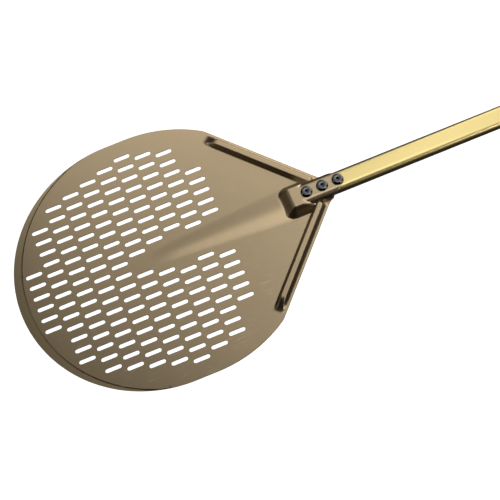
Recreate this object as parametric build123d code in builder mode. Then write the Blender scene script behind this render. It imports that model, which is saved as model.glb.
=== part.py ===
"""Perforated pizza peel: a pressed aluminium head riveted over the nose of a long flat-oval tube,
with a grip that slides along the tube and a fixed end grip that hangs on a hook.

Millimetres. The origin is the centre of the round head, on its flat underside. +X runs along the
handle, +Z is up, away from the table that the head slides on.
"""

import os
from math import cos, hypot, radians, sqrt, tan

from build123d import *

# ---- Driving dimensions ----------------------------------------------------------------------
SHEET = 1.2                    # thickness of the head's sheet
PLAY = 0.1                     # between pieces that are pushed together
OVERSHOOT = 10.0               # how far a cut or a trimmed shape reaches past what it meets
HEAD_RADIUS = 165.0            # a head for a 33 cm pizza
STRETCH = 26.6                 # the head's two half rounds are this far apart
CORNER_RADIUS = 20.0           # where the round head turns into its straight shoulders
SHOULDER_ANGLE = 47.9          # each shoulder's angle to the handle
SHOULDERS_CROSS = 243.2        # x where the two shoulder lines would cross
NECK_FILLET = 20.0
TONGUE_SIDE = (238.5, 13.2)    # the tongue over the tube narrows in two steps to a rounded tip
TONGUE_CORNER = (244.5, 9.5)
TONGUE_TIP = 256.3
TONGUE_TIP_RADIUS = 5.0

SLOT_LENGTH = 20.5             # drain and steam slots
SLOT_WIDTH = 5.0
SLOT_PITCH = 50.0              # along one row
SLOT_ROW_PITCH = 7.5           # from one row to the next, which is shifted by half a pitch
SLOT_FIRST_X = -135.0
SLOT_COLUMNS = 5
SLOT_ROWS = 19                 # rows on each side of the middle one
SLOT_FIELD_RADIUS = 144.0
SLOT_SHOULDER_LIMIT = 194.0    # x + |y| of the last slots before the shoulders
RIB_GAP_HALF = 22.0            # rows nearer the middle than this stop short of the centre rib
RIB_GAP_START = -59.0
RIB_GAP_SLOPE = 50.0 / 15.0

BEVEL_SHIFT = 14.5             # the thinned front edge is the crescent outside this shifted circle
BEVEL_RADIUS = 168.0
BEVEL_DEPTH = 0.5

SIDE_RIB_HEIGHT = 7.0          # pressed ridge along each shoulder
SIDE_RIB_WIDTH = 12.0
SIDE_RIB_TAPER = 24.0
SIDE_RIB_INSET = 9.2           # its middle, in from the shoulder's edge
SIDE_RIB_FROM = 125.0
SIDE_RIB_TO = 211.0
SIDE_RIB_CREST = 2.4

CENTRE_RIB_FROM = 8.0          # shallow ridge that grows towards the handle
CENTRE_RIB_TO = 176.0
CENTRE_RIB_HALF = 17.0
CENTRE_RIB_RISE = 1.4
CENTRE_RIB_NOSE_HALF = 0.3     # where it starts it is almost nothing
CENTRE_RIB_NOSE_RISE = 0.02

SADDLE_FRONT = 169.5           # pressed housing over the tube's nose, with sloping walls
SADDLE_BACK = 207.0
SADDLE_HALF = 27.0
SADDLE_CORNER = 18.0
SADDLE_TOP_CORNER = 4.8
SADDLE_TAPER = 45.0
SADDLE_CREST = 3.6
CHANNEL_FROM = 186.0           # straight channel that wraps the tube behind the sloping nose

TUBE_WIDTH = 27.5              # flat-oval tube, across
TUBE_HEIGHT = 13.5             # flat-oval tube, up
TUBE_WALL = 1.5
TUBE_FROM = 188.0
TUBE_TO = 1400.0
PLUG_REACH = 12.0              # how far the plugs go into the tube
PLUG_FLANGE = 1.6
PLUG_FLANGE_INSET = 0.3        # the flange stands back from the tube's outside
PLUG_EDGE = 0.8
PLUG_WALL = 1.9
BUNG_REACH = 42.0

RIVET_X = (205.0, 225.0, 245.0)
RIVET_HEAD = 14.6
RIVET_RISE = 3.3
RIVET_RING = 9.0               # flat ring round the mandrel's hole
RIVET_SHANK = 6.4
RIVET_BORE = 4.0
RIVET_BULB = 8.4               # the tail that swells inside the tube
RIVET_BULB_LENGTH = 4.6
RIVET_BULB_CHAMFER = 1.0
RIVET_BULB_SHOULDER = 0.4
MANDREL_FIT = 0.03             # all round, between the mandrel and the rivet's bore
MANDREL_HEAD = 6.0
MANDREL_HEAD_LENGTH = 1.6
MANDREL_RECESS = 1.6           # how far the snapped mandrel lies below the ring

GRIP_WIDTH = 37.0
GRIP_HEIGHT = 23.0
COLLAR_RISE = 3.2              # how far the collars stand out from the grip's waist
COLLAR_LENGTH = 9.0
COLLAR_ROUND = 2.4
GROOVE_DEPTH = 0.9
GROOVE_WIDTH = 2.6
GROOVE_PITCH = 9.0
SLIDER_FROM = 805.0            # the sliding grip at rest, about the middle of the tube
SLIDER_TO = 917.0
SLIDER_GROOVES = 9
LINER_GAP = 0.35               # all round, between the tube and the liners
LINER_LENGTH = 14.0
LINER_WALL = 1.3
LINER_FLANGE = 1.4
BORE_RELIEF = 0.6              # the grip's own bore stands back from the tube

END_GRIP_FROM = 1285.0
END_GRIP_BODY_TO = 1404.0
END_GRIP_GROOVES = 8
END_GROOVES_AFTER = 8.0        # from the collar to the first groove's middle
TAIL_ROUND = 3.5               # where the grip's body ends at the flat eye
EYE_X = 1417.0                 # hanging eye
EYE_RADIUS = 18.0
EYE_THICKNESS = 15.0
EYELET_BORE = 11.0
EYELET_OUTER = 15.0
EYELET_FLANGE = 20.0
EYELET_FLANGE_THICKNESS = 1.0

SCREW_X = 1370.0
SCREW_SHANK = 3.9
SCREW_HEAD = 7.4
SCREW_HEAD_HEIGHT = 2.6
SCREW_DRIVE = 3.0              # hexagon socket, across corners
SCREW_DRIVE_DEPTH = 1.56
SCREW_PAST_MIDDLE = 3.0        # how far the screw reaches above the tube's centre line

# ---- Worked-out dimensions -------------------------------------------------------------------
MID = TUBE_HEIGHT / 2                              # height of the tube's centre line
HOUSING_TOP = TUBE_HEIGHT + SHEET                  # where the rivets sit
TUBE_INSIDE_TOP = TUBE_HEIGHT - TUBE_WALL
BORE_WIDTH = TUBE_WIDTH - 2 * TUBE_WALL
BORE_HEIGHT = TUBE_HEIGHT - 2 * TUBE_WALL
CHANNEL_WIDTH = TUBE_WIDTH + 2 * PLAY
SHOULDER_SLOPE = tan(radians(SHOULDER_ANGLE))

# The corner is where a shoulder's line meets the half round on its side, from the quadratic in x.
LINE_SQUARE = 1 + SHOULDER_SLOPE**2
LINE_MIDDLE = (STRETCH + SHOULDER_SLOPE**2 * SHOULDERS_CROSS) / LINE_SQUARE
LINE_REST = (STRETCH**2 + (SHOULDER_SLOPE * SHOULDERS_CROSS) ** 2 - HEAD_RADIUS**2) / LINE_SQUARE
SHOULDER_CORNER_X = LINE_MIDDLE - sqrt(LINE_MIDDLE**2 - LINE_REST)
SHOULDER_CORNER_Y = (SHOULDERS_CROSS - SHOULDER_CORNER_X) * SHOULDER_SLOPE

NECK_HALF = CHANNEL_WIDTH / 2 + SHEET
NECK_X = SHOULDERS_CROSS - NECK_HALF / SHOULDER_SLOPE

os.makedirs("parts", exist_ok=True)


def across(x):
    """The plane across the handle at x: its first axis along Y, its second up, facing +X."""
    return Plane(origin=(x, 0, MID), x_dir=(0, 1, 0), z_dir=(1, 0, 0))


def write(piece, name):
    """Label a finished piece and write it to its own file."""
    piece.part.label = name
    export_step(piece.part, f"parts/{name}.step")


# ---- Head: plan ------------------------------------------------------------------------------
def slot_centres():
    """The staggered slots, without those near the rim, the shoulders and the centre rib."""
    centres = []
    for row in range(-SLOT_ROWS, SLOT_ROWS + 1):
        y = row * SLOT_ROW_PITCH
        shift = 0.0 if row % 2 else SLOT_PITCH / 2
        for column in range(SLOT_COLUMNS):
            x = SLOT_FIRST_X + shift + column * SLOT_PITCH
            on_head = hypot(x, y) < SLOT_FIELD_RADIUS and x + abs(y) < SLOT_SHOULDER_LIMIT
            beside_rib = abs(y) >= RIB_GAP_HALF or x <= RIB_GAP_START + RIB_GAP_SLOPE * abs(y)
            if on_head and beside_rib:
                centres.append((x, y))
    return centres


def rib_point(x, side):
    """A point on a side rib's middle line, parallel to the shoulder's edge; side is 1 or -1."""
    inset = SIDE_RIB_INSET / cos(radians(SHOULDER_ANGLE))
    return x, side * ((SHOULDERS_CROSS - x) * SHOULDER_SLOPE - inset)


with BuildSketch() as head_plan:
    with BuildLine():
        ThreePointArc((0, HEAD_RADIUS), (-HEAD_RADIUS, 0), (0, -HEAD_RADIUS))
        for side in (-1, 1):
            corner = (SHOULDER_CORNER_X, side * SHOULDER_CORNER_Y)
            Line((0, side * HEAD_RADIUS), (STRETCH, side * HEAD_RADIUS))
            TangentArc((STRETCH, side * HEAD_RADIUS), corner, tangent=(1, 0))
        Polyline(
            (SHOULDER_CORNER_X, -SHOULDER_CORNER_Y),
            (NECK_X, -NECK_HALF),
            (TONGUE_SIDE[0], -TONGUE_SIDE[1]),
            (TONGUE_CORNER[0], -TONGUE_CORNER[1]),
            (TONGUE_TIP, 0),
            TONGUE_CORNER,
            TONGUE_SIDE,
            (NECK_X, NECK_HALF),
            (SHOULDER_CORNER_X, SHOULDER_CORNER_Y),
        )
    make_face()
    for x, radius in (
        (SHOULDER_CORNER_X, CORNER_RADIUS),
        (NECK_X, NECK_FILLET),
        (TONGUE_TIP, TONGUE_TIP_RADIUS),
    ):
        fillet(head_plan.vertices().filter_by(lambda v: abs(v.X - x) < 0.01), radius)


# ---- Head: pressed shapes --------------------------------------------------------------------
def pressed(under):
    """The solid below the pressed shapes' top skin or, with under, the hollow beneath the sheet."""
    base = 0.0 if under else SHEET
    crest = SHEET if under else 0.0

    def narrowed(taper):
        """How much closer to the middle a sloping wall's foot is on the hollow's side."""
        slope = radians(taper)
        return SHEET * (1 / cos(slope) - tan(slope)) if under else 0.0

    with BuildPart() as ribs:
        inset = narrowed(SIDE_RIB_TAPER)
        with BuildSketch(Plane.XY.offset(base)):
            for side in (-1, 1):
                start = Vector(*rib_point(SIDE_RIB_FROM, side))
                end = Vector(*rib_point(SIDE_RIB_TO, side))
                SlotCenterPoint((start + end) / 2, end, SIDE_RIB_WIDTH - 2 * inset)
        extrude(amount=SIDE_RIB_HEIGHT, taper=SIDE_RIB_TAPER)
        tops = ribs.faces().filter_by(lambda f: f.normal_at().Z > 0.99)
        fillet(tops.edges(), SIDE_RIB_CREST - crest)

    with BuildPart() as saddle:
        inset = narrowed(SADDLE_TAPER)
        for z, inward, corner in ((base, inset, SADDLE_CORNER), (base + TUBE_HEIGHT,
                                  inset + TUBE_HEIGHT, SADDLE_TOP_CORNER)):
            with BuildSketch(Plane.XY.offset(z)):
                with Locations(((SADDLE_FRONT + SADDLE_BACK) / 2, 0)):
                    RectangleRounded(
                        SADDLE_BACK - SADDLE_FRONT - 2 * inward,
                        2 * (SADDLE_HALF - inward),
                        corner - inset,
                    )
        loft()
        top = saddle.faces().sort_by(Axis.Z)[-1]
        fillet(top.edges(), SADDLE_CREST - crest)

    with BuildPart() as channel:
        half = CHANNEL_WIDTH / 2 + (0.0 if under else SHEET)
        height = TUBE_HEIGHT + base
        with BuildSketch(Plane(origin=(CHANNEL_FROM + crest, 0, 0), x_dir=(0, 1, 0), z_dir=(1, 0, 0))):
            with Locations((0, height / 2)):
                Rectangle(2 * half, height)
        extrude(amount=TONGUE_TIP - CHANNEL_FROM + OVERSHOOT)
        crowns = channel.edges().filter_by(Axis.X).group_by(Axis.Z)[-1]
        fillet(crowns, MID + base)

    with BuildPart() as centre:
        for x, half, rise in (
            (CENTRE_RIB_FROM, CENTRE_RIB_NOSE_HALF, CENTRE_RIB_NOSE_RISE),
            (CENTRE_RIB_TO, CENTRE_RIB_HALF, CENTRE_RIB_RISE),
        ):
            with BuildSketch(Plane(origin=(x, 0, base), x_dir=(0, 1, 0), z_dir=(1, 0, 0))):
                with BuildLine():
                    Polyline((-half, 0), (half, 0), (0, rise), close=True)
                make_face()
        loft()

    with BuildPart() as whole:
        for shape in (ribs, saddle, channel, centre):
            add(shape.part)
    return whole


with BuildPart() as head:
    with BuildSketch():
        add(head_plan.sketch)
    extrude(amount=SHEET)
    add(pressed(under=False).part)
    add(pressed(under=True).part, mode=Mode.SUBTRACT)
    with BuildSketch():
        add(head_plan.sketch)
    extrude(amount=HOUSING_TOP + SHEET, mode=Mode.INTERSECT)
    with BuildSketch():
        with Locations(*slot_centres()):
            SlotOverall(SLOT_LENGTH, SLOT_WIDTH)
    extrude(amount=SHEET, mode=Mode.SUBTRACT)
    with BuildSketch(Plane.XY.offset(SHEET - BEVEL_DEPTH)):
        with Locations((-HEAD_RADIUS / 2, 0)):
            Rectangle(HEAD_RADIUS + OVERSHOOT, 2 * HEAD_RADIUS + OVERSHOOT)
        with Locations((BEVEL_SHIFT, 0)):
            Circle(BEVEL_RADIUS, mode=Mode.SUBTRACT)
    extrude(amount=SHEET, mode=Mode.SUBTRACT)
    with BuildSketch(Plane.XY.offset(MID)):
        with Locations(*[(x, 0) for x in RIVET_X]):
            Circle(RIVET_SHANK / 2 + PLAY / 2)
    extrude(amount=TUBE_HEIGHT, mode=Mode.SUBTRACT)
write(head, "head")

# ---- Tube and its plugs ----------------------------------------------------------------------
with BuildPart() as handle_tube:
    with BuildSketch(across(TUBE_FROM)):
        SlotOverall(TUBE_WIDTH, TUBE_HEIGHT)
        SlotOverall(BORE_WIDTH, BORE_HEIGHT, mode=Mode.SUBTRACT)
    extrude(amount=TUBE_TO - TUBE_FROM)
    with BuildSketch(Plane.XY.offset(MID)):
        with Locations(*[(x, 0) for x in RIVET_X]):
            Circle(RIVET_SHANK / 2 + PLAY / 2)
    extrude(amount=TUBE_HEIGHT, mode=Mode.SUBTRACT)
    with BuildSketch(Plane.XY):
        with Locations((SCREW_X, 0)):
            Circle(SCREW_SHANK / 2 + PLAY)
    extrude(amount=MID, mode=Mode.SUBTRACT)
write(handle_tube, "handle_tube")

with BuildPart() as tube_nose_plug:
    with BuildSketch(across(TUBE_FROM - PLUG_FLANGE)):
        SlotOverall(TUBE_WIDTH - 2 * PLUG_FLANGE_INSET, TUBE_HEIGHT - 2 * PLUG_FLANGE_INSET)
    extrude(amount=PLUG_FLANGE)
    fillet(tube_nose_plug.faces().sort_by(Axis.X)[0].edges(), PLUG_EDGE)
    with BuildSketch(across(TUBE_FROM)):
        SlotOverall(BORE_WIDTH - 2 * PLAY, BORE_HEIGHT - 2 * PLAY)
        SlotOverall(
            BORE_WIDTH - 2 * PLAY - 2 * PLUG_WALL,
            BORE_HEIGHT - 2 * PLAY - 2 * PLUG_WALL,
            mode=Mode.SUBTRACT,
        )
    extrude(amount=PLUG_REACH)
write(tube_nose_plug, "tube_nose_plug")

with BuildPart() as tube_end_bung:
    with BuildSketch(across(TUBE_TO - BUNG_REACH)):
        SlotOverall(BORE_WIDTH - 2 * PLAY, BORE_HEIGHT - 2 * PLAY)
    extrude(amount=BUNG_REACH)
    with BuildSketch(Plane.XY):
        with Locations((SCREW_X, 0)):
            Circle(SCREW_SHANK / 2 + PLAY / 2)
    extrude(amount=TUBE_HEIGHT - TUBE_WALL, mode=Mode.SUBTRACT)
write(tube_end_bung, "tube_end_bung")

# ---- Rivets ----------------------------------------------------------------------------------
with BuildPart() as rivets:
    for rivet_x in RIVET_X:
        with BuildSketch(Plane(origin=(rivet_x, 0, 0), x_dir=(1, 0, 0), z_dir=(0, -1, 0))):
            with BuildLine():
                dome_top = (RIVET_RING / 2, HOUSING_TOP + RIVET_RISE)
                dome_foot = (RIVET_HEAD / 2, HOUSING_TOP)
                bulb_foot = TUBE_INSIDE_TOP - RIVET_BULB_LENGTH
                EllipticalCenterArc(
                    (RIVET_RING / 2, HOUSING_TOP),
                    (RIVET_HEAD - RIVET_RING) / 2,
                    RIVET_RISE,
                    start_angle=0,
                    arc_size=90,
                )
                Polyline(
                    dome_top,
                    (RIVET_BORE / 2, HOUSING_TOP + RIVET_RISE),
                    (RIVET_BORE / 2, bulb_foot),
                    (RIVET_BULB / 2 - RIVET_BULB_CHAMFER, bulb_foot),
                    (RIVET_BULB / 2, TUBE_INSIDE_TOP - RIVET_BULB_LENGTH / 2),
                    (RIVET_BULB / 2 - RIVET_BULB_SHOULDER, TUBE_INSIDE_TOP),
                    (RIVET_SHANK / 2, TUBE_INSIDE_TOP),
                    (RIVET_SHANK / 2, HOUSING_TOP),
                    dome_foot,
                )
            make_face()
        revolve(axis=Axis((rivet_x, 0, 0), (0, 0, 1)))
write(rivets, "rivets")

with BuildPart() as rivet_mandrels:
    for rivet_x in RIVET_X:
        foot = TUBE_INSIDE_TOP - RIVET_BULB_LENGTH
        with BuildSketch(Plane(origin=(rivet_x, 0, foot))):
            Circle(RIVET_BORE / 2 - MANDREL_FIT)
        extrude(amount=HOUSING_TOP + RIVET_RISE - MANDREL_RECESS - foot)
        with BuildSketch(Plane(origin=(rivet_x, 0, foot - MANDREL_HEAD_LENGTH))):
            Circle(MANDREL_HEAD / 2)
        extrude(amount=MANDREL_HEAD_LENGTH)
write(rivet_mandrels, "rivet_mandrels")


# ---- Grips -----------------------------------------------------------------------------------
def groove_rings(first_x, count):
    """What is cut away for shallow grooves round a waist, the first one's middle at first_x."""
    with BuildPart() as rings:
        for index in range(count):
            with BuildSketch(across(first_x + index * GROOVE_PITCH - GROOVE_WIDTH / 2)):
                SlotOverall(GRIP_WIDTH + OVERSHOOT, GRIP_HEIGHT + OVERSHOOT)
                SlotOverall(GRIP_WIDTH - 2 * GROOVE_DEPTH, GRIP_HEIGHT - 2 * GROOVE_DEPTH,
                            mode=Mode.SUBTRACT)
            extrude(amount=GROOVE_WIDTH)
    return rings


def collar_at(x):
    """A rounded collar that starts at x and keeps the hand from slipping off."""
    with BuildPart() as collar:
        with BuildSketch(across(x)):
            SlotOverall(GRIP_WIDTH + 2 * COLLAR_RISE, GRIP_HEIGHT + 2 * COLLAR_RISE)
        extrude(amount=COLLAR_LENGTH)
        fillet(collar.edges().group_by(Axis.X)[0] + collar.edges().group_by(Axis.X)[-1],
               COLLAR_ROUND)
    return collar


liner_hole = (TUBE_WIDTH + 2 * LINER_GAP, TUBE_HEIGHT + 2 * LINER_GAP)
liner_outer = (liner_hole[0] + 2 * LINER_WALL, liner_hole[1] + 2 * LINER_WALL)
liner_flange = (liner_outer[0] + 2 * LINER_FLANGE, liner_outer[1] + 2 * LINER_FLANGE)
liner_ends = ((SLIDER_FROM, 1), (SLIDER_TO, -1))

slider_grooves = groove_rings(
    (SLIDER_FROM + SLIDER_TO - (SLIDER_GROOVES - 1) * GROOVE_PITCH) / 2, SLIDER_GROOVES)
slider_collars = [collar_at(x) for x in (SLIDER_FROM, SLIDER_TO - COLLAR_LENGTH)]
with BuildPart() as sliding_grip:
    with BuildSketch(across(SLIDER_FROM + COLLAR_ROUND)):
        SlotOverall(GRIP_WIDTH, GRIP_HEIGHT)
    extrude(amount=SLIDER_TO - SLIDER_FROM - 2 * COLLAR_ROUND)
    add(slider_grooves.part, mode=Mode.SUBTRACT)
    for collar in slider_collars:
        add(collar.part)
    with BuildSketch(across(SLIDER_FROM)):
        SlotOverall(liner_hole[0] + BORE_RELIEF, liner_hole[1] + BORE_RELIEF)
    extrude(amount=SLIDER_TO - SLIDER_FROM, mode=Mode.SUBTRACT)
    for x, way in liner_ends:
        with BuildSketch(across(x)):
            SlotOverall(liner_outer[0] + PLAY, liner_outer[1] + PLAY)
        extrude(amount=way * LINER_LENGTH, mode=Mode.SUBTRACT)
        with BuildSketch(across(x)):
            SlotOverall(liner_flange[0] + PLAY, liner_flange[1] + PLAY)
        extrude(amount=way * LINER_FLANGE, mode=Mode.SUBTRACT)
write(sliding_grip, "sliding_grip")

with BuildPart() as slide_liners:
    for x, way in liner_ends:
        with BuildSketch(across(x)):
            SlotOverall(*liner_outer)
        extrude(amount=way * LINER_LENGTH)
        with BuildSketch(across(x)):
            SlotOverall(*liner_flange)
        extrude(amount=way * LINER_FLANGE)
        with BuildSketch(across(x)):
            SlotOverall(*liner_hole)
        extrude(amount=way * LINER_LENGTH, mode=Mode.SUBTRACT)
write(slide_liners, "slide_liners")

end_grooves = groove_rings(END_GRIP_FROM + COLLAR_LENGTH + END_GROOVES_AFTER, END_GRIP_GROOVES)
end_collar = collar_at(END_GRIP_FROM)
with BuildPart() as end_grip:
    with BuildSketch(across(END_GRIP_FROM + COLLAR_ROUND)):
        SlotOverall(GRIP_WIDTH, GRIP_HEIGHT)
    extrude(amount=END_GRIP_BODY_TO - END_GRIP_FROM - COLLAR_ROUND)
    fillet(end_grip.edges().group_by(Axis.X)[-1], TAIL_ROUND)
    add(end_grooves.part, mode=Mode.SUBTRACT)
    add(end_collar.part)
    with BuildSketch(Plane.XY.offset(MID - EYE_THICKNESS / 2)) as eye:
        with Locations((EYE_X, 0)):
            Circle(EYE_RADIUS)
        with Locations(((EYE_X + SCREW_X) / 2, 0)):
            Rectangle(EYE_X - SCREW_X, 2 * EYE_RADIUS)
    extrude(amount=EYE_THICKNESS)
    with BuildSketch(Plane.XY.offset(MID - EYE_THICKNESS)):
        with Locations((EYE_X, 0)):
            Circle(EYELET_OUTER / 2)
    extrude(amount=2 * EYE_THICKNESS, mode=Mode.SUBTRACT)
    with BuildSketch(across(END_GRIP_FROM)):
        SlotOverall(TUBE_WIDTH + 2 * PLAY, TUBE_HEIGHT + 2 * PLAY)
    extrude(amount=TUBE_TO - END_GRIP_FROM + PLAY, mode=Mode.SUBTRACT)
    with BuildSketch(Plane.XY.offset(MID - GRIP_HEIGHT / 2)):
        with Locations((SCREW_X, 0)):
            Circle(SCREW_HEAD / 2 + PLAY)
    extrude(amount=SCREW_HEAD_HEIGHT, mode=Mode.SUBTRACT)
    with BuildSketch(Plane.XY.offset(MID - GRIP_HEIGHT / 2)):
        with Locations((SCREW_X, 0)):
            Circle(SCREW_SHANK / 2 + PLAY)
    extrude(amount=GRIP_HEIGHT / 2, mode=Mode.SUBTRACT)
write(end_grip, "end_grip")

with BuildPart() as grip_screw:
    head_bottom = MID - GRIP_HEIGHT / 2
    with BuildSketch(Plane(origin=(SCREW_X, 0, head_bottom))):
        Circle(SCREW_HEAD / 2)
    extrude(amount=SCREW_HEAD_HEIGHT)
    with BuildSketch(Plane(origin=(SCREW_X, 0, head_bottom))):
        Circle(SCREW_SHANK / 2)
    extrude(amount=GRIP_HEIGHT / 2 + SCREW_PAST_MIDDLE)
    with BuildSketch(Plane(origin=(SCREW_X, 0, head_bottom))):
        RegularPolygon(SCREW_DRIVE / 2, 6)
    extrude(amount=SCREW_DRIVE_DEPTH, mode=Mode.SUBTRACT)
write(grip_screw, "grip_screw")

with BuildPart() as hanging_eyelet:
    half = EYE_THICKNESS / 2
    with BuildSketch(Plane(origin=(EYE_X, 0, MID - half - EYELET_FLANGE_THICKNESS))):
        Circle(EYELET_FLANGE / 2)
    extrude(amount=EYELET_FLANGE_THICKNESS)
    with BuildSketch(Plane(origin=(EYE_X, 0, MID + half))):
        Circle(EYELET_FLANGE / 2)
    extrude(amount=EYELET_FLANGE_THICKNESS)
    with BuildSketch(Plane(origin=(EYE_X, 0, MID - half))):
        Circle(EYELET_OUTER / 2 - PLAY / 2)
    extrude(amount=EYE_THICKNESS)
    with BuildSketch(Plane(origin=(EYE_X, 0, MID - EYE_THICKNESS))):
        Circle(EYELET_BORE / 2)
    extrude(amount=2 * EYE_THICKNESS, mode=Mode.SUBTRACT)
write(hanging_eyelet, "hanging_eyelet")
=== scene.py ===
"""Looks of a perforated pizza peel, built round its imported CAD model.

Every length in the classes that make the pieces is in millimetres, in the CAD's own frame: the origin
is the centre of the round head on its flat underside, +X runs along the handle and +Z is up. Meshes
are scaled to metres when they are made. Lengths in the effects, the finishes and the studio are in
metres, except the camera's lens and sensor.
"""

import logging
import math
from collections.abc import Callable
from dataclasses import dataclass, field
from enum import Enum

import bmesh
import bpy
import numpy as np
from mathutils import Euler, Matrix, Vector
from mathutils.geometry import delaunay_2d_cdt

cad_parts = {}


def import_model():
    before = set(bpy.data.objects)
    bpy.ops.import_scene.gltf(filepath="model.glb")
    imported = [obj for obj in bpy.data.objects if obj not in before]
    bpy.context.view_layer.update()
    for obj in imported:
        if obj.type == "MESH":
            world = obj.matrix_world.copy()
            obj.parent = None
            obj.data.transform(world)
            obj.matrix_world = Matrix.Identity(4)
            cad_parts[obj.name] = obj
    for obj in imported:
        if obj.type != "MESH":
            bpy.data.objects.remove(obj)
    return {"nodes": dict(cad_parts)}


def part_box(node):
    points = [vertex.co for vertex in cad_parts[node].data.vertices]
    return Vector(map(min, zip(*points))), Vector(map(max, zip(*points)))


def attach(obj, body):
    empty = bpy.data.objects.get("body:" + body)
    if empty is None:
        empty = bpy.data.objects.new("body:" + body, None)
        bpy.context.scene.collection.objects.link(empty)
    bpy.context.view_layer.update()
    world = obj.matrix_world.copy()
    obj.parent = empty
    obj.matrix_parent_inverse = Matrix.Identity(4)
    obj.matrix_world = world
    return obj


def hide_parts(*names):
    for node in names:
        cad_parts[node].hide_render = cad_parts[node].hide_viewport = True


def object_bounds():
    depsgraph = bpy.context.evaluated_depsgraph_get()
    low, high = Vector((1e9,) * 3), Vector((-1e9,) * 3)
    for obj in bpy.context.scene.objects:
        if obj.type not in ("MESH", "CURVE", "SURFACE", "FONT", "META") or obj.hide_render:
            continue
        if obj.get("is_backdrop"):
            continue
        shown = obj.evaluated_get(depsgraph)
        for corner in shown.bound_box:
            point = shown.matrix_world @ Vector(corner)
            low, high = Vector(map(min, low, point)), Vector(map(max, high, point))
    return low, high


MM = 0.001
LOG = logging.getLogger("peel")
# The middle of a rounded edge: 1 - cos 45 and sin 45, as shares of its radius.
MID_LIFT, MID_REACH = 0.293, 0.707

Point = tuple[float, float]
Colour = tuple[float, float, float]


class Body(Enum):
    """The two rigid bodies of the peel."""

    PEEL = "peel"
    SLIDER = "slider"


class Slot(Enum):
    """The material slots, by name."""

    HEAD = "head_sheet"
    TUBE = "handle_gold"
    RIVET = "rivet_black"
    MANDREL = "mandrel_steel"
    GRIP = "grip_plastic"
    LINER = "liner_plastic"
    PLUG = "plug_plastic"
    STEEL = "screw_steel"


# ---- Curves and profiles ---------------------------------------------------------------------
def smoothstep(low: float, high: float, value: np.ndarray) -> np.ndarray:
    """Rise from 0 at low to 1 at high with level ends.

    Args:
        low: where the rise starts.
        high: where the rise ends.
        value: the values to map.

    Returns:
        The eased values, from 0 to 1.
    """
    t = np.clip((value - low) / (high - low), 0.0, 1.0)
    return t * t * (3.0 - 2.0 * t)


def arc(centre: Point, radius: float, start: float, end: float, steps: int) -> list[Point]:
    """Points along a circular arc.

    Args:
        centre: the arc's centre.
        radius: its radius.
        start: first angle in degrees.
        end: last angle in degrees.
        steps: number of intervals.

    Returns:
        steps + 1 points.
    """
    angles = np.radians(np.linspace(start, end, steps + 1))
    return [(centre[0] + radius * math.cos(a), centre[1] + radius * math.sin(a)) for a in angles]


def rounded(corners: list[tuple[float, float, float]], steps: int = 5) -> list[Point]:
    """A closed outline with each corner rounded to its own radius.

    Args:
        corners: x, y and rounding radius of each corner, in order.
        steps: intervals along each rounding.

    Returns:
        The outline's points, without the first one repeated.
    """
    points: list[Point] = []
    count = len(corners)
    for index, (x, y, radius) in enumerate(corners):
        here = Vector((x, y))
        before = Vector(corners[index - 1][:2])
        after = Vector(corners[(index + 1) % count][:2])
        back, ahead = (before - here).normalized(), (after - here).normalized()
        turn = math.pi - back.angle(ahead)
        if radius <= 0.0 or turn < 1e-4:
            points.append((x, y))
            continue
        reach = radius * math.tan(turn / 2)
        middle = here + (back + ahead).normalized() * radius / math.cos(turn / 2)
        first, last = here + back * reach - middle, here + ahead * reach - middle
        for step in range(steps + 1):
            share = step / steps
            swing = first.normalized().slerp(last.normalized(), share)
            points.append((middle.x + swing.x * radius, middle.y + swing.y * radius))
    return points


def divided(here: Point, after: Point, steps: int) -> list[Point]:
    """A line's first point and those that divide it evenly, without its last point."""
    return [(here[0] + (after[0] - here[0]) * k / steps, here[1] + (after[1] - here[1]) * k / steps)
            for k in range(steps)]


# ---- Meshes ----------------------------------------------------------------------------------
def make_piece(name: str, points: np.ndarray, faces: list[tuple[int, ...]]) -> bpy.types.Object:
    """Make a smooth-shaded mesh object from points in millimetres.

    Args:
        name: the piece's name.
        points: n by 3 array in millimetres.
        faces: vertex indices of each face.

    Returns:
        The linked object.
    """
    mesh = bpy.data.meshes.new(name)
    mesh.from_pydata([tuple(p) for p in np.asarray(points) * MM], [], faces)
    mesh.validate()
    mesh.shade_smooth()
    piece = bpy.data.objects.new(name, mesh)
    bpy.context.scene.collection.objects.link(piece)
    return piece


def recalculate(piece: bpy.types.Object, sharp_degrees: float = 40.0) -> None:
    """Turn a closed mesh's faces outwards and keep its sharp edges sharp.

    Args:
        piece: the object to mend.
        sharp_degrees: edges that turn more than this stay sharp.
    """
    bm = bmesh.new()
    bm.from_mesh(piece.data)
    bmesh.ops.remove_doubles(bm, verts=bm.verts, dist=1e-7)
    bmesh.ops.recalc_face_normals(bm, faces=bm.faces)
    for edge in bm.edges:
        edge.smooth = len(edge.link_faces) == 2 and edge.calc_face_angle() < math.radians(sharp_degrees)
    bm.to_mesh(piece.data)
    bm.free()


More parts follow.
